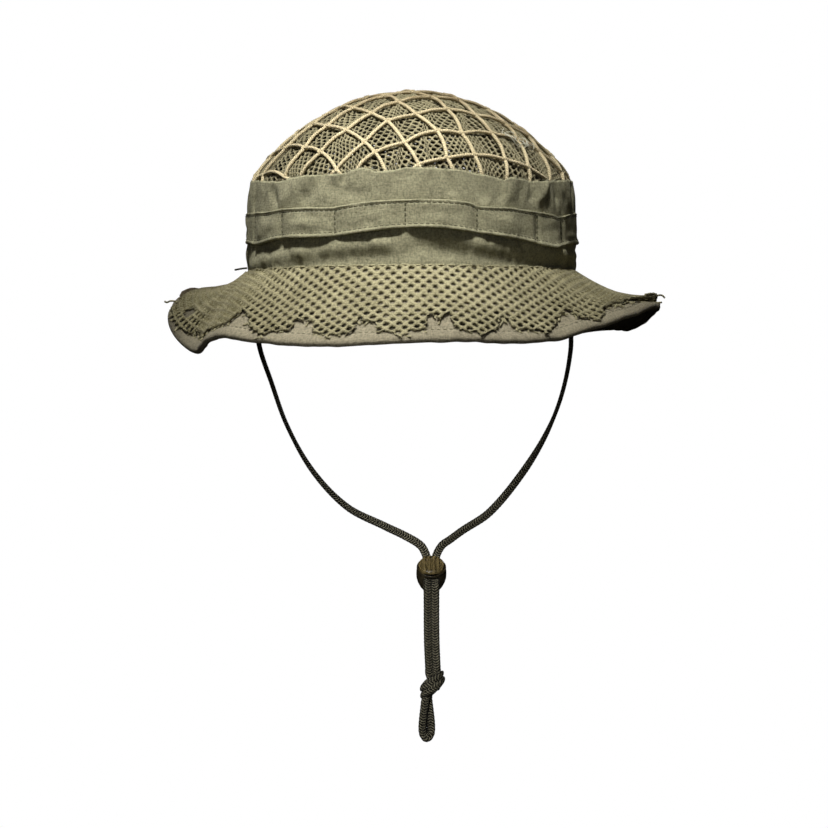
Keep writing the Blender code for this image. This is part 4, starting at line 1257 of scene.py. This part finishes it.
# %% String net
NET_PITCH = 19.5 * MM
NET_TURN = math.radians(28)
NET_SHIFT = np.array([-6.4, 3.4]) * MM
net_along = np.array([math.cos(NET_TURN), math.sin(NET_TURN)])
net_across = np.array([-math.sin(NET_TURN), math.cos(NET_TURN)])
NET_REACH = cap_arc[-1] + 4 * MM
NET_LIFT = 1.15 * MM
STRING_STEPS = 38
string_random = random.Random(11)
KNOT_MOVES = {
    (-5, 0): (0.2, 5.4), (-5, -1): (-1.0, -6.0), (-4, -1): (-1.0, -6.0), (-4, -2): (0.8, -4.2),
    (-4, -3): (-1.2, -6.0), (-3, -1): (-2.0, -3.6), (-3, -2): (0.6, -4.0), (-3, -3): (1.8, -4.2),
    (-3, -4): (2.2, 3.4), (-2, -2): (0.0, -1.4), (-2, -3): (2.0, 3.0), (-2, -4): (0.8, -1.2),
    (-2, -5): (1.0, 1.0), (-1, -3): (-0.4, -0.2), (-1, -4): (3.6, 0.2), (-1, -5): (-0.4, -1.4),
    (0, -3): (1.0, 1.2), (0, -4): (-1.8, -4.2), (0, -5): (-1.0, -1.8), (1, -3): (-2.0, -3.4),
    (1, -4): (0.4, -1.8), (1, -5): (0.6, -3.2), (2, -5): (-1.4, -3.4),
}


def net_flat(a, b):
    return net_along * a + net_across * b


def knot_place(i, j):
    """Where a knot lies on the flat net: on the grid, moved by listed amounts at the front, else by chance.
    """
    chance = random.Random(100 * i + j)
    move = KNOT_MOVES.get((i, j)) or (chance.uniform(-1.6, 1.6), chance.uniform(-1.6, 1.6))
    return net_flat(NET_SHIFT[0] + NET_PITCH * i + move[0] * MM,
                    NET_SHIFT[1] + NET_PITCH * j + move[1] * MM)


def ply_section(far, radius):
    """Three plies that wind round each other along the string."""
    turn = np.arange(8) * 2 * math.pi / 8
    wind = 2 * math.pi * far / (4.6 * MM)
    size = radius * (1 + 0.13 * np.cos(3 * (turn[None, :] - wind[:, None])))
    return np.stack([size * np.cos(turn), size * np.sin(turn)], axis=-1)


def net_string_line(k, lengthwise):
    """Flat points and lifts of one whole string, knot to knot."""
    knots = [knot_place(i, k) if lengthwise else knot_place(k, i) for i in range(-7, 8)]
    flats = []
    lifts = []
    for start, end in zip(knots, knots[1:]):
        side = np.array([start[1] - end[1], end[0] - start[0]])
        bow = string_random.uniform(-0.05, 0.05)
        rise = string_random.uniform(0.1, 0.9) * MM
        for i in range(STRING_STEPS):
            share = i / STRING_STEPS
            arch = math.sin(math.pi * share)
            flats.append(start + (end - start) * share + side * bow * arch)
            lifts.append(NET_LIFT + rise * arch)
    flats = np.array(flats)
    lifts = np.array(lifts)
    inside = np.linalg.norm(flats, axis=1) < NET_REACH
    return flats[inside], lifts[inside]


net = Skin()
for k in range(-7, 8):
    for lengthwise in (True, False):
        flats, lifts = net_string_line(k, lengthwise)
        if len(flats) < 8:
            continue
        near_edge = np.clip((np.linalg.norm(flats, axis=1) - cap_arc[-1] + 5 * MM) / (6 * MM), 0, 1)
        lifts = lifts * (1 - 0.9 * near_edge)
        line = cap_at(flats, lifts)
        sweep(net, line, (0.3, 0.2, 1.0), ply_section(distances(line), 0.95 * MM))


def tie(skin, place, normal, first, second):
    """A small knot: a thread that goes round the crossing in three turns."""
    points = []
    for i in range(31):
        swing = 2 * math.pi * 2.6 * i / 30
        slide = (i / 30 - 0.5) * 2.6 * MM
        points.append(place + first * (1.1 * MM * math.cos(swing) + slide * 0.5)
                      + second * (slide * 0.9)
                      + normal * (0.95 * MM * math.sin(swing) + 0.1 * MM))
    sweep(skin, np.array(points), normal, oval_section(0.62 * MM, 0.55 * MM, 7))


ties = 0
for i in range(-7, 8):
    for j in range(-7, 8):
        flat = knot_place(i, j)
        if np.linalg.norm(flat) > cap_arc[-1] - 4 * MM:
            continue
        spots = np.array([flat, flat + net_along * MM, flat + net_across * MM])
        spots = cap_at(spots, np.full(3, NET_LIFT))
        first, second = unit(spots[1] - spots[0]), unit(spots[2] - spots[0])
        tie(net, spots[0], unit(np.cross(first, second)), unit(first + second), unit(first - second))
        ties += 1
settle(net.build("crown_net_tied", net_string), "hat", "net_string", "crown_net")
print("net", ties, "knots", len(net.faces), "faces")

# %% [markdown]
# ## Crown band
# The band is a sheet of rings. Listed folds push it in and out: each one is a line from one
# place to another on the band, with a width and a depth. The upper edge is raw, so it waves and
# carries loose thread ends.

# %% Crown band
BAND_HEIGHT = 49.0 * MM
BAND_POINTS = 480
DEGREE = 1.62 * MM
band_turn = np.arange(BAND_POINTS) * 360.0 / BAND_POINTS - 180.0
BAND_FOLDS = (
    (-70, 49, -71, 33, 2.0, -1.3), (-55, 40, -53, 35, 2.6, -0.9), (-48, 35, -38, 46, 5.0, 0.9),
    (-38, 35, -30, 47, 3.4, -0.6), (-22, 50, -23, 43, 1.5, -0.9), (-27, 40, -17, 36, 3.0, -0.6),
    (-10, 48, -12, 38, 5.0, 0.5), (4, 49, 3, 37, 4.0, 0.4), (10, 50, 13, 39, 2.2, -0.8),
    (21, 49, 24, 36, 3.0, -0.9), (29, 48, 31, 36, 2.6, -1.0), (36, 47, 35, 37, 3.5, 0.8),
    (44, 48, 45, 37, 2.4, -0.8), (52, 42, 49, 36, 2.4, 0.9), (57, 49, 60, 38, 2.4, -1.2),
    (68, 48, 70, 37, 3.0, 0.9), (78, 48, 76, 36, 2.6, -0.9),
    (-75, 3, -40, 9, 3.4, 1.2), (-40, 8, -8, 12, 3.2, 1.0), (-64, 14, -48, 10, 3.0, -1.0),
    (-30, 3, 0, 6, 3.0, -0.9), (-12, 12, -2, 4, 4.0, 0.7), (2, 10, 24, 5, 3.6, -1.0),
    (16, 13, 38, 10, 3.4, 1.0), (28, 4, 56, 3, 2.8, -0.8), (33, 15, 36, 9, 1.3, -1.0),
    (38, 15, 42, 8, 1.4, -1.0), (46, 11, 66, 8, 3.6, 1.1), (62, 3, 86, 6, 3.0, -0.9),
    (70, 13, 90, 12, 2.6, -1.0),
)


def back_folds(count):
    """Folds for the sides and back, in the same manner as those at the front."""
    pick = random.Random(5)
    folds = []
    for i in range(count):
        start = 84 + 190 * i / count + pick.uniform(-3, 3)
        if i % 2:
            folds.append((start, 49, start + pick.uniform(-4, 4), 35, pick.uniform(2, 4),
                          pick.choice((-1, 1)) * pick.uniform(0.5, 1.2)))
        else:
            low = pick.uniform(2, 12)
            folds.append((start, low, start + pick.uniform(14, 26), low + pick.uniform(-4, 6),
                          pick.uniform(2.6, 4), pick.choice((-1, 1)) * pick.uniform(0.6, 1.2)))
    return folds


def fold_depth(degrees, height, folds):
    """Sum of the folds at places on the band; height in metres."""
    total = np.zeros(np.shape(degrees))
    for az_0, z_0, az_1, z_1, width, depth in folds:
        start = np.array([az_0 * DEGREE, z_0 * MM])
        run = np.array([az_1 * DEGREE, z_1 * MM]) - start
        for lap in (-360, 0, 360):
            x = (degrees + lap) * DEGREE - start[0]
            z = height - start[1]
            share = np.clip((x * run[0] + z * run[1]) / (run @ run), 0, 1)
            gap = np.hypot(x - share * run[0], z - share * run[1])
            total += depth * MM * np.exp(-(gap / (1.25 * width * MM)) ** 2)
    return total


EDGE_HEIGHT = (
    (-90, 49.0), (-71, 47.6), (-60, 46.0), (-50, 44.8), (-46, 46.0), (-37, 46.8), (-24, 46.6),
    (-20, 48.3), (-16.4, 49.6), (-13.4, 48.6), (-12.2, 47.2), (-6, 47.9), (-2.5, 49.3), (3, 49.3),
    (10, 48.9), (19, 47.8), (22, 46.8), (29, 45.6), (32.6, 44.0), (34.6, 45.7), (45, 44.6), (57, 45.8),
    (64, 47.1), (75, 48.5), (90, 49.0),
)


def raw_edge(degrees):
    """Height of the cut upper edge: measured places at the front, gentle waves behind."""
    degrees = (np.asarray(degrees, float) + 180) % 360 - 180
    side = np.radians(degrees)
    wave = BAND_HEIGHT / MM + 0.8 * np.sin(9 * side) + 0.5 * np.sin(16 * side + 1.0)
    front = np.clip((96 - np.abs(degrees)) / 8, 0, 1)
    fine = np.array([grain(a * 0.35, 1.0) + 0.7 * grain(a * 1.1, 2.0) for a in np.ravel(degrees)])
    height = wave * (1 - front) + np.interp(degrees, *zip(*EDGE_HEIGHT)) * front
    return MM * (height + 0.45 * fine.reshape(np.shape(degrees)))


all_folds = list(BAND_FOLDS) + back_folds(34)


def wrinkles(degrees, height):
    """Fine creases, longer upwards than sideways."""
    values = [abs(grain(a * 0.26, z * 55, 3.0)) + 0.5 * grain(a * 0.5, z * 120, 8.0)
              for a, z in zip(np.ravel(degrees), np.ravel(height))]
    return (np.array(values).reshape(np.shape(degrees)) - 0.2) * 0.8 * MM


def band_out(degrees, height):
    """How far the band stands out from the oval at places on it."""
    share = np.clip(height / BAND_HEIGHT, 0, 1.05)
    swell = 0.7 * MM * np.sin(np.pi * np.minimum(share, 1))
    front = np.cos(np.radians(degrees)) ** 2
    swell = swell + (0.2 + 0.9 * front) * MM * np.clip((height - 16 * MM) / (24 * MM), 0, 1)
    flare = (1.2 * front - 0.9) * MM
    flare = flare * np.clip((height - 41 * MM) / (7 * MM), 0, 1) ** 1.5
    right = np.exp(-(((degrees - 88 + 180) % 360 - 180) / 24) ** 2)
    swell = swell + 2.2 * MM * right * np.interp(height / MM, (0, 4, 9, 15, 21), (0, 0.5, 1, 0.45, 0))
    under_loop = np.clip(1 - np.abs(height - 24 * MM) / (12 * MM), 0, 1)
    folds = fold_depth(degrees, height, all_folds) * np.where(height > 25 * MM, 1.5, 1.0)
    folds = folds + wrinkles(degrees, height)
    out = swell + flare + folds * (1 - 0.75 * under_loop)
    least = (-0.1 - 0.9 * np.sin(np.radians(degrees)) ** 2) * MM
    return np.where(height > 39 * MM, np.maximum(out, least), out)


edge = raw_edge(band_turn)
rows = []
uvs = []
for share in np.linspace(0, 1, 46):
    height = edge * share
    rows.append(oval(band_turn, band_out(band_turn, height), height))
    uvs.append(np.stack([np.append(band_turn, 180.0) * DEGREE, np.append(height, height[0])], axis=1))
band = Skin()
ring_sheet(band, np.array(rows), np.array(uvs))
band_piece = thicken(band.build("crown_band_sewn", band_cloth), PLY)
settle(band_piece, "hat", "band_cloth", "crown_band")
print("band", len(band.faces), "faces")

# %% [markdown]
# ## Frayed upper edge
# Cut cloth without a hem loses threads. Each loose end is a thin tube that leans and curls by a
# seeded chance, shorter at the sides, where they would stand out against the background.

# %% Frayed upper edge
FRAY_ENDS = 420
fray = Skin()
fray_random = random.Random(3)
for i in range(FRAY_ENDS):
    where = fray_random.uniform(-180, 180)
    top = float(raw_edge(np.array([where]))[0])
    out = float(band_out(np.array([where]), np.array([top]))[0])
    length = fray_random.uniform(0.6, 2.2) * (2.2 if i % 23 == 0 else 1.0) * MM
    length *= 0.35 + 0.65 * math.cos(math.radians(where)) ** 2
    lean = fray_random.uniform(-1.2, 1.2)
    curl = fray_random.uniform(-0.8, 0.8)
    points = []
    for k in range(5):
        share = k / 4
        sway = (lean * share + curl * share * share) * length / DEGREE
        points.append(oval(where + sway, out - 0.4 * MM + 0.3 * MM * share * fray_random.random(),
                           top - 0.5 * MM + length * share))
    sweep(fray, np.array(points), (0.6, 0.8, 0.0), oval_section(0.14 * MM, 0.12 * MM, 5))
settle(fray.build("crown_band_fray", fray_thread), "hat", "band_cloth")
print("frayed edge", FRAY_ENDS, "loose ends")

# %% [markdown]
# ## Loop band
# A narrow strip lies round the band. Upright rows of stitches hold it down, and between them it
# stands off, most at its lower edge. Its profile has a turned hem at both edges.

# %% Loop band
LOOP_POINTS = 576
LOOP_LOW = (
    (-180, 16.5), (-120, 16.5), (-90, 16.2), (-77, 15.3), (-67, 13.5), (-58, 14.2), (-50, 15.4),
    (-38, 15.2), (-27, 15.2), (-14, 17.2), (-2.5, 18.9), (9, 18.9), (22, 16.8), (33.6, 15.0), (45, 12.8),
    (54.5, 11.2), (61, 12.4), (70, 14.2), (80, 15.5), (100, 16.5),
)
LOOP_HIGH = (
    (-180, 33.0), (-120, 32.8), (-90, 32.3), (-77, 31.3), (-67, 30.8), (-58, 30.2), (-50, 30.6),
    (-38, 30.6), (-27, 30.1), (-20, 31.4), (-10, 32.8), (-2.5, 33.2), (3, 33.5), (12, 33.2), (19, 32.2),
    (22.5, 30.4), (33.6, 30.3), (45, 29.3), (54, 28.6), (60, 27.8), (70, 30.0), (80, 31.8), (100, 33.0),
)
LOOP_WIDE = 15.0 * MM
LOOP_PLY = 0.8 * MM
TACKS = [-69.0, -49.0, -26.0, -2.0, 22.0, 47.0, 62.5] + [86.5 + 22.5625 * i for i in range(9)]


def span_bulge(degrees):
    """0 at a tack, 1 in the middle of the span between two tacks."""
    stops = np.array(TACKS + [TACKS[0] + 360])
    where = (np.asarray(degrees, float) - TACKS[0]) % 360 + TACKS[0]
    i = np.clip(np.searchsorted(stops, where, side="right") - 1, 0, len(TACKS) - 1)
    share = (where - stops[i]) / (stops[i + 1] - stops[i])
    return np.abs(np.sin(np.pi * share)) ** 1.3, i


span_random = random.Random(8)
SPAN_SLACK = [span_random.uniform(0.7, 1.3) for _ in TACKS]
SPAN_SLACK[6] = SPAN_SLACK[15] = 0.15


def loop_height(degrees, share):
    low, high = value_round(LOOP_LOW, degrees), value_round(LOOP_HIGH, degrees)
    return (low + (high - low) * share) * MM


def loop_out(degrees, share):
    """How far the strip's outer face stands out; share 0 is its lower edge, 1 its upper edge."""
    bulge, span = span_bulge(degrees)
    slack = np.array(SPAN_SLACK)[span]
    under = band_out(degrees, loop_height(degrees, share))
    loose = bulge * slack * (1.4 * (1 - share) ** 1.2 + 0.25) * MM
    belly = 0.5 * MM * np.sin(np.pi * share) * bulge
    crease = np.array([grain(a * 0.16, 3.0 * s, 7.0) for a, s in
                       zip(np.ravel(degrees), np.ravel(np.broadcast_to(share, np.shape(degrees))))])
    crease = 0.9 * MM * crease.reshape(np.shape(degrees)) * bulge
    groove = 0.75 * MM * np.exp(-(bulge / 0.12) ** 2)
    close = (0.45 - 0.95 * np.sin(np.radians(degrees)) ** 4) * MM
    return under + close + LOOP_PLY + loose + belly + crease - groove


def loop_place(degrees, share, more=0.0):
    return oval(degrees, loop_out(degrees, share) + more, loop_height(degrees, share))


loop_turn = np.arange(LOOP_POINTS) * 360.0 / LOOP_POINTS + TACKS[0]
HEM = ((0.0, -0.45), (0.0, 0.25), (0.03, 0.62), (0.075, 0.62), (0.115, 0.28), (0.14, 0.0))
rows = []
uvs = []
profile = list(HEM)
profile += [(share, 0.0) for share in np.linspace(0.2, 0.82, 10)]
profile += [(0.85, 0.05), (0.875, -0.28), (0.905, -0.28), (0.93, 0.12), (0.965, 0.3), (0.99, 0.2),
            (1.0, -0.35)]
for share, out in profile:
    rows.append(loop_place(loop_turn, np.full(LOOP_POINTS, share), np.full(LOOP_POINTS, out * MM)))
    uvs.append(np.stack([np.append(loop_turn, loop_turn[0] + 360) * DEGREE,
                         np.full(LOOP_POINTS + 1, share * LOOP_WIDE)], axis=1))
loop = Skin()
ring_sheet(loop, np.array(rows), np.array(uvs))
loop_piece = thicken(loop.build("loop_band_sewn", band_cloth), LOOP_PLY)
settle(loop_piece, "hat", "band_cloth", "loop_band")
print("loop band", len(loop.faces), "faces and", len(TACKS), "tacks")

# %% [markdown]
# ## Stitching
# Each stitch is a short thread whose two ends dip into the cloth. Rows of them tack the loops down
# and run along both edges of the loop band and along the hem of the brim.

# %% Stitching

def stitch(skin, start, end, normal, radius, rise):
    """One stitch from start to end, with its ends sunk into the cloth."""
    points = []
    for i in range(7):
        share = i / 6
        height = rise * (1 - (2 * share - 1) ** 4) - radius * 1.6 * (abs(2 * share - 1) ** 3)
        points.append(start + (end - start) * share + normal * height)
    sweep(skin, np.array(points), normal, oval_section(radius, radius, 6))


def stitch_row(skin, places, normals, length, gap, radius=0.26 * MM, rise=0.12 * MM):
    """Stitches of a length and gap along a row of places."""
    far = distances(places)
    count = 0
    position = 0.0
    while position + length < far[-1]:
        ends = [np.array([np.interp(p, far, places[:, k]) for k in range(3)])
                for p in (position, position + length)]
        middle = np.searchsorted(far, position + length / 2)
        stitch(skin, ends[0], ends[1], normals[min(middle, len(normals) - 1)], radius, rise)
        position += length + gap
        count += 1
    return count


tacks = Skin()
for azimuth in TACKS:
    shares = np.linspace(0.03, 0.97, 24)
    sway = np.array([0.25 * grain(azimuth, 9 * s) for s in shares])
    where = azimuth + sway
    places = loop_place(where, shares)
    stitch_row(tacks, places, oval_away(where), 1.9 * MM, 0.8 * MM, 0.4 * MM, 0.16 * MM)
settle(tacks.build("loop_tack_stitches", hem_thread), "hat", "thread",
       *[f"loop_tack_{i:02d}" for i in range(1, len(TACKS) + 1)])

edges = Skin()
around = np.arange(0, 360.01, 0.25) + TACKS[0]
top_row = loop_place(around, np.full(len(around), 0.89), -0.1 * MM)
hem_stitches = stitch_row(edges, top_row, oval_away(around), 2.0 * MM, 0.9 * MM, 0.32 * MM)
low_row = loop_place(around, np.full(len(around), 0.145))
hem_stitches += stitch_row(edges, low_row, oval_away(around), 2.0 * MM, 0.9 * MM)
settle(edges.build("loop_band_stitches", hem_thread), "hat", "thread")

hem = Skin()
round_hat = np.arange(0, 360.01, 0.2)
hem_share = np.full(len(round_hat), 0.868)
hem_wave = pucker(round_hat, hem_share)
hem_places = brim_at(round_hat, hem_share, hem_wave + 0.95 * MM)
hem_up = unit(brim_at(round_hat, hem_share, np.full(len(round_hat), MM)) - brim_at(
    round_hat, hem_share, np.zeros(len(round_hat))))
hem_stitches += stitch_row(hem, hem_places, hem_up, 2.2 * MM, 0.9 * MM)
settle(hem.build("brim_hem_stitches", hem_thread), "hat", "thread")
print("stitches", hem_stitches)

# %% [markdown]
# ## Inside of the crown
# The sweatband is a second ring of cloth inside the band, with a turned lower edge. A folded tab on
# each side takes the end of the chin cord.

# %% Inside of the crown
sweat_rows = []
sweat_uvs = []
SWEAT_POINTS = 240
sweat_turn = np.arange(SWEAT_POINTS) * 360.0 / SWEAT_POINTS
for height, out in ((29.8, -1.55), (29.9, -1.45), (24, -1.6), (16, -2.0), (8, -2.2), (1.6, -2.1),
                    (0.5, -2.2), (0.4, -2.6)):
    fine = np.array([0.12 * grain(a * 0.12, height) for a in sweat_turn]) * MM
    sweat_rows.append(oval(sweat_turn, out * MM + fine, height * MM))
    sweat_uvs.append(np.stack([np.append(sweat_turn, 360.0) * DEGREE,
                               np.full(SWEAT_POINTS + 1, height * MM)], axis=1))
sweat = Skin()
ring_sheet(sweat, np.array(sweat_rows)[::-1], np.array(sweat_uvs)[::-1])
sweat_piece = thicken(sweat.build("sweatband_sewn", shaded_inner_cloth), 1.1 * MM)
settle(sweat_piece, "hat", "sweatband_cloth", "sweatband")

for side, sign in (("left", -1), ("right", 1)):
    tab = Skin()
    line = smooth_line(np.array([(sign * 82.1, 0, 14.8), (sign * 82.0, 0, 8.0), (sign * 81.9, 0, 2.6),
                                 (sign * 81.3, 0, 1.15), (sign * 80.75, 0, 2.6),
                                 (sign * 80.6, 0, 8.0), (sign * 80.6, 0, 14.6)]) * MM, 0.7 * MM)
    sweep(tab, line, (0.0, 1.0, 0.0), oval_section(5.3 * MM, 0.6 * MM, 20))
    stitch_row(tab, np.linspace((sign * 79.9 * MM, -4.2 * MM, 10 * MM),
                                (sign * 79.9 * MM, 4.2 * MM, 10 * MM), 12),
               np.tile((-sign, 0.0, 0.0), (12, 1)), 1.5 * MM, 0.5 * MM)
    settle(tab.build(f"cord_tab_{side}_sewn", shaded_inner_cloth), "hat", "sweatband_cloth", f"cord_tab_{side}")
print("inside", len(sweat.faces), "faces")

# %% [markdown]
# ## Strand ends of the brim's mesh
# The cut mesh leaves short strand ends along its ragged edge. They are thin tubes with a little curl,
# placed with a seeded random generator. At the left a bit of the hem has rolled up.

# %% Strand ends of the brim's mesh
STRAND_ENDS = 230
stray = Skin()
stray_random = random.Random(21)
for i in range(STRAND_ENDS):
    azimuth = stray_random.uniform(0, 360)
    end = ragged_end((azimuth + 180) % 360 - 180)
    length = stray_random.uniform(1.2, 3.6) * MM * (1.8 if i % 17 == 0 else 1.0)
    drift = stray_random.uniform(-1.4, 1.4)
    curl = stray_random.uniform(-0.7, 1.1)
    points = []
    for k in range(6):
        share = k / 5
        out = end - 0.02 + share * length / BRIM_SLOPE
        swing = azimuth + (drift * share + curl * share ** 2) * length / (2.2 * MM)
        height = (1.35 + 0.9 * curl * share * share) * MM
        points.append(brim_at(np.array([swing]), np.array([out]), np.array([height]))[0])
    sweep(stray, np.array(points), (0.3, 0.5, 0.8), oval_section(0.5 * MM, 0.42 * MM, 6))
roll = Skin()
turns = np.linspace(-118, -107.5, 24)
lumps = np.array([1.0 + 0.3 * grain(a * 0.9, 4.0) for a in turns]) * np.sin(np.linspace(0.25, 2.9, 24)) ** 0.4
line = brim_at(turns, np.full(24, 0.95), np.full(24, 1.9 * MM))
sweep(roll, line, (0.0, 0.3, 1.0), oval_section(1.9 * MM, 1.6 * MM, 12)[None] * lumps[:, None, None])
roll_piece = settle(roll.build("brim_hem_roll", shaded_roll_cloth), "hat", "brim_cloth")
for azimuth, share, height, steps in (
    (-101.0, 0.9, 1.8, [(0, 0, 0), (-2.5, -0.6, 0.9), (-4.6, -1, 0.9), (-6.2, -0.6, 0.2), (-7.6, -0.6, 0.8)]),
    (84.0, 0.93, 4.6, [(0, 0, 0), (2.4, -1, 0.9), (4.2, -1, 0.7), (5.4, -1.5, -0.6)]),
):
    start = brim_at(np.array([azimuth]), np.array([share]), np.array([height * MM]))[0]
    sweep(stray, smooth_line(start + np.array(steps) * MM, 0.6 * MM), (0, 1, 0.3),
          oval_section(0.6 * MM, 0.5 * MM, 7))
turns = np.linspace(66, 92, 60)
for start, stop, wave in ((0, 44, 0.0), (16, 60, 2.0)):
    drift = np.array([grain(a * 0.35, wave) for a in turns])
    lifts = (2.9 + 2.6 * np.exp(-((turns - 81) / 11) ** 2) + 0.7 * drift + 0.25 * wave) * MM
    line = brim_at(turns, ragged_end(turns) - 0.015 + 0.02 * drift, lifts)[start:stop]
    sweep(stray, line, (0, 0.3, 1.0), oval_section(0.62 * MM, 0.5 * MM, 7))
settle(stray.build("brim_mesh_strand_ends", brim_yarn), "hat", "mesh_cloth")
print("strand ends", len(stray.faces), "faces")

# %% [markdown]
# ## Stray threads
# A pale thread has caught on the net, and one dark end hangs out of the seam at the left. Each is a
# tube along a line that was thought out on the flat sheet first and then laid on the dome.

# %% Stray threads
TANGLE_POINTS = 70
tangle = Skin()
for turns, size, shift in ((2.3, 4.2, 0.0), (1.7, 6.0, 1.3), (1.2, 8.0, 2.4)):
    flat_middle = np.array([66.0, -52.0]) * MM
    flats = []
    for i in range(TANGLE_POINTS):
        share = i / (TANGLE_POINTS - 1)
        swing = 2 * math.pi * turns * share + shift
        reach = size * (0.6 + 0.4 * math.sin(3.1 * share + shift)) * MM
        drift = np.array([14.0, 9.0]) * MM * (share - 0.5)
        flats.append(flat_middle + drift + reach * np.array([math.cos(swing), math.sin(swing)]))
    flats = np.array(flats)
    lifts = np.array([2.6 + 0.9 * math.sin(i * 0.4 + shift) for i in range(TANGLE_POINTS)]) * MM
    sweep(tangle, cap_at(flats, lifts), (0.2, 0.3, 1.0), oval_section(0.24 * MM, 0.22 * MM, 5))
settle(tangle.build("crown_net_stray_thread", pale_thread), "hat", "net_string")

seam_thread = Skin()
line = smooth_line(np.array([(-86.6, -9.0, 3.2), (-89.4, -9.4, 2.9), (-93.2, -9.2, 2.2)]) * MM, 0.5 * MM)
sweep(seam_thread, line, (0, 1, 0), oval_section(0.55 * MM, 0.5 * MM, 8))
settle(seam_thread.build("seam_thread_frayed", cord_braid), "hat", "cord_braid", "seam_thread_end")
print("stray threads", len(tangle.faces) + len(seam_thread.faces), "faces")
